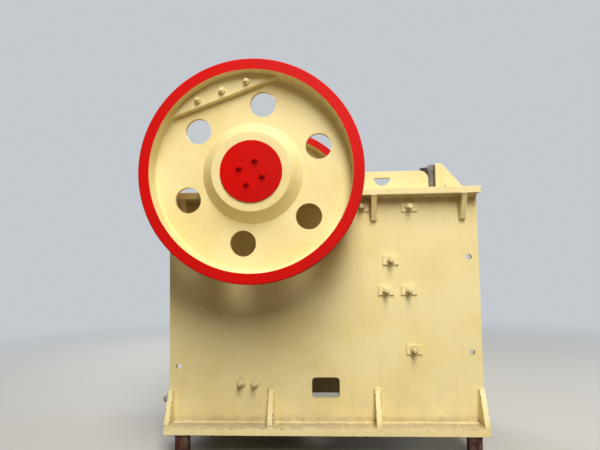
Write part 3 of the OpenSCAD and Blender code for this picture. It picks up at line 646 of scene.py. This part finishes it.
def solid_mesh(node):
    """A node's mesh with its loose triangles joined."""
    work = bmesh.new()
    work.from_mesh(frame["nodes"][node].data)
    bmesh.ops.remove_doubles(work, verts=work.verts, dist=MERGE_DISTANCE)
    return work


def mesh_from(work, name, look):
    """A mesh with its material from a working mesh, which is freed."""
    made = bpy.data.meshes.new(name)
    work.to_mesh(made)
    work.free()
    made.materials.append(look)
    return made


def broken_edges(work, width, narrow=False):
    """Makes flat faces whole, rounds the sharp edges and marks the new faces for the wear to follow.

    Where narrow is set, the shortest edge holds the width back on the whole solid.
    """
    bmesh.ops.dissolve_limit(
        work, angle_limit=FLAT_ANGLE, verts=work.verts, edges=work.edges, use_dissolve_boundaries=False,
    )
    mark = work.faces.layers.float.new("worn_edge")
    sharp = [e for e in work.edges if len(e.link_faces) == 2 and e.calc_face_angle(0.0) > SHARP_ANGLE]
    made = bmesh.ops.bevel(
        work, geom=sharp, offset=width, offset_type="OFFSET", segments=2, profile=0.6,
        affect="EDGES", clamp_overlap=narrow,
    )
    for face in made["faces"]:
        face[mark] = 1.0


def lower_front_hole(work):
    """Moves a side plate's upper front hole from midway between the first two ribs to its real height."""
    ribs = sorted(island_boxes("front_ribs"), key=lambda box: -box[0].z)[:2]
    middle_x = PLATE_HIGH.x - FRONT_HOLE_INSET
    middle_z = sum(low.z + high.z for low, high in ribs) / 4
    rim = [v for v in work.verts if math.hypot(v.co.x - middle_x, v.co.z - middle_z) < FRONT_HOLE_RIM]
    if not rim:
        raise RuntimeError("The side plate has no hole between its first two ribs")
    bmesh.ops.translate(work, verts=rim, vec=(0, 0, -FRONT_HOLE_DROP))


def finish_nodes(finish, edge_share, *nodes, narrow=False, reshape=None):
    """Shows nodes by copies with smooth round faces and edges broken by a share of the set width."""
    for node in nodes:
        work = solid_mesh(node)
        if edge_share:
            broken_edges(work, sizes().edge_round * edge_share, narrow)
        if reshape:
            reshape(work)
        mesh = mesh_from(work, node + "_finished", material(finish))
        mesh.shade_smooth()
        mesh.set_sharp_from_angle(angle=SMOOTH_ANGLE)
        made = place_piece(node + "_finished", mesh, body_of(node))
        weighted = made.modifiers.new("face_weights", "WEIGHTED_NORMAL")
        weighted.keep_sharp = True
        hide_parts(node)


def island_boxes(node):
    """(low, high) of each separate solid in a node, from rear to front."""
    work = solid_mesh(node)
    left, boxes = set(work.verts), []
    while left:
        ahead, found = [left.pop()], []
        while ahead:
            vert = ahead.pop()
            found.append(vert.co.copy())
            for edge in vert.link_edges:
                other = edge.other_vert(vert)
                if other in left:
                    left.remove(other)
                    ahead.append(other)
        boxes.append(tuple(Vector(end(p[k] for p in found) for k in range(3)) for end in (min, max)))
    work.free()
    return sorted(boxes, key=lambda box: box[0].x)


def grown(tree, mesh, values):
    """The plain mesh that a geometry tree makes from a mesh and these input values."""
    carrier = new_object("carrier", mesh)
    change = carrier.modifiers.new("tree", "NODES")
    change.node_group = tree
    for item in tree.interface.items_tree:
        if item.in_out == "INPUT" and item.name in values:
            change[item.identifier] = values[item.name]
    graph = bpy.context.evaluated_depsgraph_get()
    made = bpy.data.meshes.new_from_object(carrier.evaluated_get(graph))
    bpy.data.objects.remove(carrier)
    made.materials.clear()
    made.materials.append(values["Material"])
    made.polygons.foreach_set("material_index", [0] * len(made.polygons))
    return made


def geometry_tree(name, inputs):
    """An empty geometry tree: (tree, what it is given by name, output node)."""
    every = [("Geometry", SHAPE, None), *inputs, ("Material", "NodeSocketMaterial", None)]
    return new_tree("GeometryNodeTree", name, every, [("Geometry", SHAPE)])


def resampled(line, step):
    return signal(line.tree, "GeometryNodeResampleCurve", {"Curve": line, "Length": step}, mode="LENGTH")


def stored(tree, name, kind):
    """What the points of the mesh carry under that name."""
    return signal(tree, "GeometryNodeInputNamedAttribute", {"Name": name}, data_type=kind)


def swept(line, section, scale):
    """A section drawn along a line, closed at both ends."""
    inputs = {"Curve": line, "Profile Curve": section, "Scale": scale, "Fill Caps": True}
    return signal(line.tree, "GeometryNodeCurveToMesh", inputs)


def hand_out(shape, look, end):
    """Makes instances real, sets the material and gives the shape to the tree's output."""
    shape = signal(shape.tree, "GeometryNodeRealizeInstances", {0: shape})
    shape = signal(shape.tree, "GeometryNodeSetMaterial", {"Geometry": shape, "Material": look})
    fill(end, {0: shape})


@functools.cache
def weld_tree():
    """A fillet bead along a path; each point of the path says where its corner opens to."""
    tree, given, end = geometry_tree("Weld bead", [
        ("Step", NUMBER, 0.004), ("Pitch", NUMBER, 0.01), ("Depth", NUMBER, 0.1),
        ("Sides", "NodeSocketInt", BEAD_SIDES),
    ])
    path = signal(tree, "GeometryNodeMeshToCurve", {"Mesh": given["Geometry"]})
    path = resampled(path, given["Step"])
    corner = stored(tree, "corner", "FLOAT_VECTOR")
    path = signal(tree, "GeometryNodeSetCurveNormal", {"Curve": path, "Normal": corner}, mode="FREE")
    distance = signal(tree, "GeometryNodeSplineParameter", output="Length")
    wave = calc("SINE", distance * math.tau / given["Pitch"])
    uneven = noise(signal(tree, "GeometryNodeInputPosition"), 23.0, 3.0, 0.6) - 0.5
    ripple = (wave + uneven * BEAD_UNEVEN) * given["Depth"]
    scale = stored(tree, "leg", "FLOAT") * (ripple + 1.0)
    circle = signal(tree, "GeometryNodeCurvePrimitiveCircle", {"Resolution": given["Sides"], "Radius": 1.0})
    section = signal(tree, "GeometryNodeTransform", {
        "Geometry": circle, "Translation": BEAD_SHIFT, "Scale": BEAD_SECTION,
    })
    hand_out(swept(path, section, scale), given["Material"], end)
    return tree


@functools.cache
def bolt_tree():
    """A bolt or stud with its hexagon, washer and end on every point of a mesh."""
    tree, given, end = geometry_tree("Bolts", [
        ("Head radius", NUMBER, 0.018), ("Head height", NUMBER, 0.014), ("Washer radius", NUMBER, 0.022),
        ("Washer height", NUMBER, 0.003), ("Stud radius", NUMBER, 0.01), ("Stud height", NUMBER, 0.01),
        ("Thread pitch", NUMBER, 0.003), ("Seed", "NodeSocketInt", 1),
    ])

    def upward(height):
        """A place on the bolt's axis."""
        return signal(tree, "ShaderNodeCombineXYZ", {"Z": height})

    def lifted(kind, lift, inputs):
        """A drum of that kind and these sizes, lifted along the bolt's axis."""
        shape = signal(tree, kind, inputs)
        return signal(tree, "GeometryNodeTransform", {"Geometry": shape, "Translation": upward(lift)})

    def drum(sides, radius, height, base):
        """A drum standing on base."""
        inputs = {"Vertices": sides, "Radius": radius, "Depth": height}
        return lifted("GeometryNodeMeshCylinder", height * 0.5 + base, inputs)

    def tapered(sides, radius, crown, height, base):
        """A tapered drum standing on base."""
        inputs = {"Vertices": sides, "Radius Bottom": radius, "Radius Top": crown, "Depth": height}
        return lifted("GeometryNodeMeshCone", base, inputs)

    def thread(radius, height, base):
        """A threaded end with a broken tip, standing on base."""
        line = {"Start": upward(base), "End": upward(base + height)}
        line = resampled(signal(tree, "GeometryNodeCurvePrimitiveLine", line), given["Thread pitch"] * 0.5)
        groove = calc("MODULO", signal(tree, "GeometryNodeInputIndex"), 2.0)
        share = signal(tree, "GeometryNodeSplineParameter", output="Factor")
        tip = calc("GREATER_THAN", share, TIP_START) * TIP_DEPTH
        depth = larger(groove * THREAD_DEPTH, tip)
        ring = signal(tree, "GeometryNodeCurvePrimitiveCircle", {"Resolution": STUD_SIDES, "Radius": radius})
        return swept(line, ring, 1.0 - depth)

    radius = given["Head radius"]
    flat = given["Head height"] * HEAD_FLAT
    lip = given["Head height"] * HEAD_LIP
    head_base = given["Washer height"] - BOLT_LAP
    lip_base = head_base + flat - BOLT_LAP
    stud_base = lip_base + lip - BOLT_LAP
    shapes = [
        drum(WASHER_SIDES, given["Washer radius"], given["Washer height"], 0.0),
        drum(HEAD_SIDES, radius, flat, head_base),
        tapered(HEAD_SIDES, radius * HEAD_SHOULDER, radius * HEAD_CROWN, lip, lip_base),
        thread(given["Stud radius"], given["Stud height"], stud_base),
    ]
    whole = tree.nodes.new("GeometryNodeJoinGeometry")
    for shape in shapes:
        fill(whole, {0: shape})
    turn = signal(tree, "FunctionNodeRandomValue", {"Max": (0.0, 0.0, math.pi / 3), "Seed": given["Seed"]},
                  data_type="FLOAT_VECTOR")
    many = signal(tree, "GeometryNodeInstanceOnPoints", {
        "Points": given["Geometry"], "Instance": Signal(whole.outputs[0]), "Rotation": turn,
    })
    hand_out(many, given["Material"], end)
    return tree


def joined(name, meshes):
    """One mesh from several that share a material."""
    work = bmesh.new()
    for mesh in meshes:
        work.from_mesh(mesh)
    return mesh_from(work, name, meshes[0].materials[0])


def washer_plate(low, high):
    """A flat plate with broken edges."""
    work = bmesh.new()
    bmesh.ops.create_cube(work, size=1.0)
    for vert in work.verts:
        vert.co = Vector(low[k] + (high[k] - low[k]) * (vert.co[k] + 0.5) for k in range(3))
    broken_edges(work, sizes().edge_round * 0.5)
    return mesh_from(work, "washer_plate", material("cream_plate"))


def circle_points(number, radius, turn):
    angles = [turn + k * math.tau / number for k in range(number)]
    return [(radius * math.cos(angle), radius * math.sin(angle), 0.0) for angle in angles]


def facing(side, centre):
    """Turns +Z to look out of that side (-1 near, 1 far) and puts the origin at centre."""
    return Matrix.Translation(centre) @ Matrix(((-side, 0, 0), (0, 0, side), (0, 1, 0))).to_4x4()


def bolts(name, kind, groups, body=FRAME_BODY, finish="cream_bolt"):
    """One piece of bolts of one kind; groups are (points, matrix) pairs."""
    meshes = []
    for seed, (points, matrix) in enumerate(groups, 1):
        values = dict(zip(BOLT_INPUTS, BOLT_SIZES[kind]), Seed=seed, Material=material(finish))
        carrier = bpy.data.meshes.new("points")
        carrier.from_pydata(points, [], [])
        mesh = grown(bolt_tree(), carrier, values)
        mesh.transform(matrix)
        meshes.append(mesh)
    made = place_piece(name, joined(name, meshes), body)
    made.data.set_sharp_from_angle(angle=BOLT_ANGLE)
    return made


# Weld paths: lists of (point, where the corner opens to), with the leg of the bead


def seam(points, corners, leg):
    return [(Vector(p), Vector(c).normalized()) for p, c in zip(points, corners)], leg


def straight(start, stop, corner, leg):
    return seam((start, stop), (corner, corner), leg)


def flipped(path):
    """The same seam on the far side."""
    line, leg = path
    return [(Vector((p.x, -p.y, p.z)), Vector((c.x, -c.y, c.z))) for p, c in line], leg


def round_gusset(box, flange_z, up):
    """Beads round a gusset on the near side plate: up and over it, and round its foot on the flange."""
    low, high = box
    leg = sizes().gusset_leg
    tip_z = high.z if up > 0 else low.z
    wall, reach = high.y, low.y
    past_cope = wall - GUSSET_COPE
    climb = [(wall, flange_z + up * GUSSET_COPE), (wall, tip_z - up * BEAD_INSET)]
    over, foot = [], []
    if low.x > PLATE_LOW.x + END_MARGIN:
        over += [((low.x, y, z), (-1, -1, 0)) for y, z in climb]
        foot += [((low.x, y, flange_z), (-1, 0, up)) for y in (past_cope, reach + BEAD_INSET)]
    for x in (low.x + BEAD_INSET, high.x - BEAD_INSET):
        over.append(((x, wall, tip_z), (0, -1, up)))
        foot.append(((x, reach, flange_z), (0, -1, up)))
    if high.x < PLATE_HIGH.x - END_MARGIN:
        over += [((high.x, y, z), (1, -1, 0)) for y, z in reversed(climb)]
        foot += [((high.x, y, flange_z), (1, 0, up)) for y in (reach + BEAD_INSET, past_cope)]
    return [seam(*zip(*over), leg), seam(*zip(*foot), leg)]


def side_paths():
    """Seams on the outside of the near side plate."""
    wall = -OUTER_Y
    top, under = FLANGE_HIGH.z, FLANGE_LOW.z
    leg = sizes().seam_leg
    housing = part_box("bearing_saddle_near")
    gusset = next(box for box in island_boxes("front_top_gussets") if box[0].y < wall + END_MARGIN)
    runs = [
        (PLATE_LOW.x, PLATE_HIGH.x, BASE_TOP, 1, leg),
        (FLANGE_LOW.x, AXIS.x - HOUSING_BORE, under, -1, leg * UNDER_FLANGE_LEG),
        (AXIS.x + HOUSING_BORE, PLATE_HIGH.x, under, -1, leg * UNDER_FLANGE_LEG),
        (housing[1].x + EAR_CLEARANCE, WALL_LOW.x - HUMP_SETBACK, top, 1, leg * ON_FLANGE_LEG),
        (gusset[0].x, gusset[1].x, top, 1, leg * ON_FLANGE_LEG),
    ]
    paths = [
        straight((start, wall, z), (stop, wall, z), (0, -1, up), size) for start, stop, z, up, size in runs
    ]
    for box in island_boxes("base_gussets_near"):
        paths += round_gusset(box, BASE_TOP, 1)
    for box in island_boxes("flange_gussets_near"):
        paths += round_gusset(box, under, -1)
    return paths


def rib_paths(boxes, wall_x, out, wall_low, wall_high):
    """Seams round level ribs between the side plates, and in the corners between them."""
    leg = sizes().rib_leg
    side = INNER_Y
    corner_x, corner_y = wall_x + out * RIB_CORNER, side - RIB_CORNER
    paths = []
    for low, high in boxes:
        end = high.x if out > 0 else low.x
        line = [(end, -side), (corner_x, -side), (wall_x, -corner_y),
                (wall_x, corner_y), (corner_x, side), (end, side)]
        opens = [(0, 1), (0, 1), (out, 0), (out, 0), (0, -1), (0, -1)]
        for z, up in ((high.z, 1), (low.z, -1)):
            paths.append(seam([(x, y, z) for x, y in line], [(x, y, up) for x, y in opens], leg))
    levels = sorted((low.z, high.z) for low, high in boxes)
    stops = [wall_low, *(z for pair in levels for z in pair), wall_high]
    for low, high in zip(stops[::2], stops[1::2]):
        if high - low > SHORTEST_SEAM:
            for s in (-1, 1):
                paths.append(straight((wall_x, s * side, low), (wall_x, s * side, high), (out, -s, 0), leg))
    return paths


def post_paths():
    """Seams round the heads of the posts, under the base flanges."""
    paths = []
    for low, high in island_boxes("support_posts"):
        turns = [(low.x, low.y, -1, -1), (high.x, low.y, 1, -1), (high.x, high.y, 1, 1),
                 (low.x, high.y, -1, 1), (low.x, low.y, -1, -1)]
        points = [(x, y, high.z) for x, y, out_x, out_y in turns]
        corners = [(out_x, out_y, -POST_BEAD_DROP) for x, y, out_x, out_y in turns]
        paths.append(seam(points, corners, sizes().post_reach))
    return paths


def weld(name, paths, finish="cream_weld"):
    """One piece of weld beads along these paths."""
    verts, edges, corners, legs = [], [], [], []
    for line, leg in paths:
        first = len(verts)
        for point, corner in line:
            verts.append(point)
            corners.extend(corner)
            legs.append(leg)
        edges += [(first + k, first + k + 1) for k in range(len(line) - 1)]
    mesh = bpy.data.meshes.new("paths")
    mesh.from_pydata(verts, edges, [])
    mesh.attributes.new("corner", "FLOAT_VECTOR", "POINT")
    mesh.attributes.new("leg", "FLOAT", "POINT")
    mesh.attributes["corner"].data.foreach_set("vector", corners)
    mesh.attributes["leg"].data.foreach_set("value", legs)
    values = {
        "Step": sizes().bead_step, "Pitch": sizes().ripple_pitch, "Depth": sizes().ripple_depth,
        "Sides": BEAD_SIDES, "Material": material(finish),
    }
    made = place_piece(name, grown(weld_tree(), mesh, values), FRAME_BODY)
    made.data.shade_smooth()


# Operators, one for each group of like pieces


class CrusherStep:
    """What every step shares"""

    bl_options = {"REGISTER", "UNDO"}


class CRUSHER_OT_side_plates(CrusherStep, bpy.types.Operator):
    """Finish the side plates, their flanges and their gussets"""

    bl_idname = "crusher.side_plates"
    bl_label = "Side plates"

    def execute(self, context):
        for side in ("near", "far"):
            finish_nodes("cream_plate", 1.0, f"side_plate_{side}", reshape=lower_front_hole)
            finish_nodes("cream_plate", 1.0, f"top_flange_{side}", f"flange_gussets_{side}")
            finish_nodes("cream_base", 1.0, f"base_flange_{side}", f"base_gussets_{side}")
        return {"FINISHED"}


class CRUSHER_OT_plate_bolts(CrusherStep, bpy.types.Operator):
    """Build the bolts that hold the cheek plates and the toggle block"""

    bl_idname = "crusher.plate_bolts"
    bl_label = "Plate bolts"

    def execute(self, context):
        for s, side in ((-1, "near"), (1, "far")):
            node = f"plate_bolts_{side}"
            inner, outer = s * OUTER_Y, s * (OUTER_Y + WASHER_PLATE_THICK)
            y_low, y_high = min(inner, outer), max(inner, outer)
            plates, on_plates, on_wall = [], [], []
            for low, high in island_boxes(node):
                centre = (low + high) / 2
                if high.x - low.x > WASHER_PLATE_LENGTH:
                    plates.append(washer_plate((low.x, y_low, low.z), (high.x, y_high, high.z)))
                    on_plates.append(([(0, 0, 0)], facing(s, (centre.x, outer, centre.z))))
                else:
                    on_wall.append(([(0, 0, 0)], facing(s, (centre.x, inner, centre.z))))
            whole = joined("washers", plates)
            washers = place_piece(f"washer_plates_{side}", whole, FRAME_BODY)
            cheek = bolts(f"cheek_bolts_{side}", "cheek", on_plates)
            block = bolts(f"block_bolts_{side}", "block", on_wall)
            for piece in (washers, cheek, block):
                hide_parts(node)
        return {"FINISHED"}


class CRUSHER_OT_end_walls(CrusherStep, bpy.types.Operator):
    """Finish the front and rear walls with their ribs and gussets"""

    bl_idname = "crusher.end_walls"
    bl_label = "End walls"

    def execute(self, context):
        finish_nodes("cream_plate", 1.0, "front_wall", "front_ribs", "rear_wall", "rear_ribs", "block_struts",
                     "liner_ledge")
        finish_nodes("cream_plate", 0.4, "front_top_gussets")
        finish_nodes("dark_casting", 1.0, "rear_top_beam")
        return {"FINISHED"}


class CRUSHER_OT_jaws(CrusherStep, bpy.types.Operator):
    """Finish the jaws, the liners, the cheek plates, the toggle and the tension rod"""

    bl_idname = "crusher.jaws"
    bl_label = "Jaws and toggle"

    def execute(self, context):
        finish_nodes("dark_casting", 0.0, "swing_jaw")
        finish_nodes("dark_casting", 0.5, "toggle_block")
        finish_nodes("dark_casting", 1.0, "liner_clamp", "toggle_plate")
        finish_nodes("liner_steel", 1.0, "swing_jaw_liner", "fixed_jaw_liner", "cheek_plates_near",
                     "cheek_plates_far")
        finish_nodes("bare_steel", 0.6, "tension_rod", "rod_fittings")
        finish_nodes("spring_paint", 0.0, "rod_spring")
        return {"FINISHED"}


class CRUSHER_OT_bearings(CrusherStep, bpy.types.Operator):
    """Finish the bearing housings, and bolt down their caps and covers"""

    bl_idname = "crusher.bearings"
    bl_label = "Bearings"

    def execute(self, context):
        for side in ("near", "far"):
            finish_nodes("cream_casting", 1.5, f"bearing_saddle_{side}")
            finish_nodes("cream_casting", 1.5, f"bearing_cap_{side}", narrow=True)
        finish_nodes("cream_casting", 1.0, "bearing_covers")
        finish_nodes("bare_steel", 0.5, "main_bearings", "jaw_bearings")
        ring = circle_points(sizes().cover_bolts, COVER_R - COVER_BOLT_INSET, COVER_BOLT_TURN)
        bolts("cover_bolts", "cover", [(ring, facing(s, (AXIS.x, s * COVER_FACE, AXIS.z))) for s in (-1, 1)])
        middle = Matrix.Translation((AXIS.x, 0, AXIS.z + HOUSING_BOLT_HEIGHT))
        places = [
            ([(end * (EAR_X - HOUSING_BOLT_INSET), s * (OUTER_Y + out), 0.0)
              for end in (-1, 1) for out in HOUSING_BOLTS_OUT], middle)
            for s in (-1, 1)
        ]
        bolts("housing_bolts", "housing", places)
        return {"FINISHED"}


class CRUSHER_OT_wheels(CrusherStep, bpy.types.Operator):
    """Finish the shaft, the wheels, their balance weights and their hub caps"""

    bl_idname = "crusher.wheels"
    bl_label = "Wheels"

    def execute(self, context):
        finish_nodes("wheel_coat", 1.0, "wheel_near", "wheel_far")
        finish_nodes("cream_weight", 1.0, "counterweights")
        finish_nodes("red_cap", 0.7, "hub_caps")
        finish_nodes("bare_steel", 0.7, "shaft")
        ring = circle_points(sizes().cap_bolts, sizes().cap_bolt_circle, sizes().cap_bolt_turn)
        places = [(ring, facing(s, (AXIS.x, s * CAP_FACE, AXIS.z))) for s in (-1, 1)]
        bolts("cap_bolts", "cap", places, WHEEL_BODY, "red_cap")
        return {"FINISHED"}


class CRUSHER_OT_posts(CrusherStep, bpy.types.Operator):
    """Finish the posts under the base flanges"""

    bl_idname = "crusher.posts"
    bl_label = "Posts"

    def execute(self, context):
        finish_nodes("oxide_post", 1.4, "support_posts")
        return {"FINISHED"}


class CRUSHER_OT_welds(CrusherStep, bpy.types.Operator):
    """Lay the weld beads of the sides, the end walls and the posts"""

    bl_idname = "crusher.welds"
    bl_label = "Welds"

    def execute(self, context):
        near = side_paths()
        weld("side_welds_near", near)
        weld("side_welds_far", [flipped(path) for path in near])
        front = rib_paths(island_boxes("front_ribs"), WALL_HIGH.x, 1, WALL_LOW.z, FLANGE_HIGH.z)
        weld("front_welds", front)
        rear = rib_paths(island_boxes("rear_ribs"), REAR_LOW.x, -1, REAR_LOW.z, REAR_HIGH.z)
        weld("rear_welds", rear)
        weld("post_welds", post_paths(), "oxide_post")
        return {"FINISHED"}


# Studio


def soft_box(name, place, target, width, height, power, tone):
    data = bpy.data.lights.new(name, "AREA")
    data.shape, data.size, data.size_y = "RECTANGLE", width, height
    data.energy, data.color = power, tone
    made = new_object(name, data)
    made.location = place
    made.rotation_euler = (Vector(target) - Vector(place)).to_track_quat("-Z", "Y").to_euler()


def background_rays(tree):
    """1 for the rays that see the background: camera, glossy and transmission rays."""
    rays = outputs_of(tree, "ShaderNodeLightPath")
    return larger(larger(rays["Is Camera Ray"], rays["Is Transmission Ray"]), rays["Is Glossy Ray"])


def floor_finish():
    """Pale floor that runs into the backdrop far from the machine, for the rays that see the background."""
    made, tree, shader = new_material("studio_floor")
    place = object_place(tree)
    cloudy = span(noise(place, 1.4, 4.0, 0.5), 0.3, 0.7, 0.0, 0.05)
    seen = background_rays(tree)
    pale = mixed(cloudy, tint("floor"), FLOOR_CLOUD)
    fill(shader, {"Base Color": mixed(seen, tint("floor_bounce"), pale), "Roughness": FLOOR_ROUGHNESS})
    away = signal(tree, "ShaderNodeVectorMath", {0: place}, "Value", operation="LENGTH")
    share_far = span(away, FADE_START, FADE_END) * seen
    backdrop = signal(tree, "ShaderNodeEmission", {"Color": tint("background")})
    near_and_far = {0: share_far, 1: Signal(shader.outputs[0]), 2: backdrop}
    out = next(each for each in tree.nodes if each.type == "OUTPUT_MATERIAL")
    fill(out, {"Surface": signal(tree, "ShaderNodeMixShader", near_and_far)})
    return made


class CRUSHER_OT_studio(CrusherStep, bpy.types.Operator):
    """Set up the camera, the floor, the light and the background"""

    bl_idname = "crusher.studio"
    bl_label = "Studio"

    def execute(self, context):
        scene = context.scene
        data = bpy.data.cameras.new("camera")
        data.lens, data.sensor_width = CAMERA_LENS, CAMERA_SENSOR
        data.clip_start, data.clip_end = CLIP_START, CLIP_END
        camera = new_object("camera", data)
        upright = Matrix.Rotation(math.pi / 2, 4, "X")
        turn = Matrix.Rotation(-CAMERA_YAW, 4, "Z") @ upright @ Matrix.Rotation(CAMERA_PITCH, 4, "X")
        camera.matrix_world = Matrix.Translation(CAMERA_PLACE) @ turn @ Matrix.Rotation(CAMERA_ROLL, 4, "Z")
        scene.camera = camera

        work = bmesh.new()
        bmesh.ops.create_circle(work, cap_ends=True, radius=FLOOR_RADIUS, segments=64)
        floor = new_object("floor", mesh_from(work, "floor", floor_finish()))

        world = bpy.data.worlds.new("studio")
        scene.world = world
        world.use_nodes = True
        tree = world.node_tree
        tree.nodes.clear()
        ambient = {"Color": AMBIENT_COLOUR, "Strength": AMBIENT_STRENGTH}
        shown = {"Color": tint("background"), "Strength": 1.0}
        blend = signal(tree, "ShaderNodeMixShader", {
            0: background_rays(tree),
            1: signal(tree, "ShaderNodeBackground", ambient),
            2: signal(tree, "ShaderNodeBackground", shown),
        })
        fill(tree.nodes.new("ShaderNodeOutputWorld"), {"Surface": blend})

        for name, settings in LIGHTS.items():
            soft_box(name, *settings)
        scene.view_settings.view_transform = "Standard"
        return {"FINISHED"}


class CRUSHER_PT_panel(bpy.types.Panel):
    """Sidebar panel with the sizes, the colours and the steps"""

    bl_idname = "CRUSHER_PT_panel"
    bl_label = "Jaw crusher"
    bl_space_type = "VIEW_3D"
    bl_region_type = "UI"
    bl_category = "Crusher"

    def draw(self, context):
        layout = self.layout
        for settings in (context.scene.crusher_sizes, context.scene.crusher_colours):
            column = layout.column()
            for name in settings.__annotations__:
                column.prop(settings, name)
        for step in STEPS:
            layout.operator(step.bl_idname)


STEPS = (
    CRUSHER_OT_studio, CRUSHER_OT_side_plates, CRUSHER_OT_plate_bolts, CRUSHER_OT_end_walls, CRUSHER_OT_jaws,
    CRUSHER_OT_bearings, CRUSHER_OT_wheels, CRUSHER_OT_posts, CRUSHER_OT_welds,
)
CLASSES = (CrusherColours, CrusherSizes, *STEPS, CRUSHER_PT_panel)


def register():
    for cls in CLASSES:
        bpy.utils.register_class(cls)
    bpy.types.Scene.crusher_colours = bpy.props.PointerProperty(type=CrusherColours)
    bpy.types.Scene.crusher_sizes = bpy.props.PointerProperty(type=CrusherSizes)


def unregister():
    del bpy.types.Scene.crusher_sizes
    del bpy.types.Scene.crusher_colours
    for cls in reversed(CLASSES):
        bpy.utils.unregister_class(cls)


def main():
    register()
    bpy.ops.crusher.studio()
    bpy.ops.crusher.side_plates()
    bpy.ops.crusher.plate_bolts()
    bpy.ops.crusher.end_walls()
    bpy.ops.crusher.jaws()
    bpy.ops.crusher.bearings()
    bpy.ops.crusher.wheels()
    bpy.ops.crusher.posts()
    bpy.ops.crusher.welds()


if __name__ == "__main__":
    main()
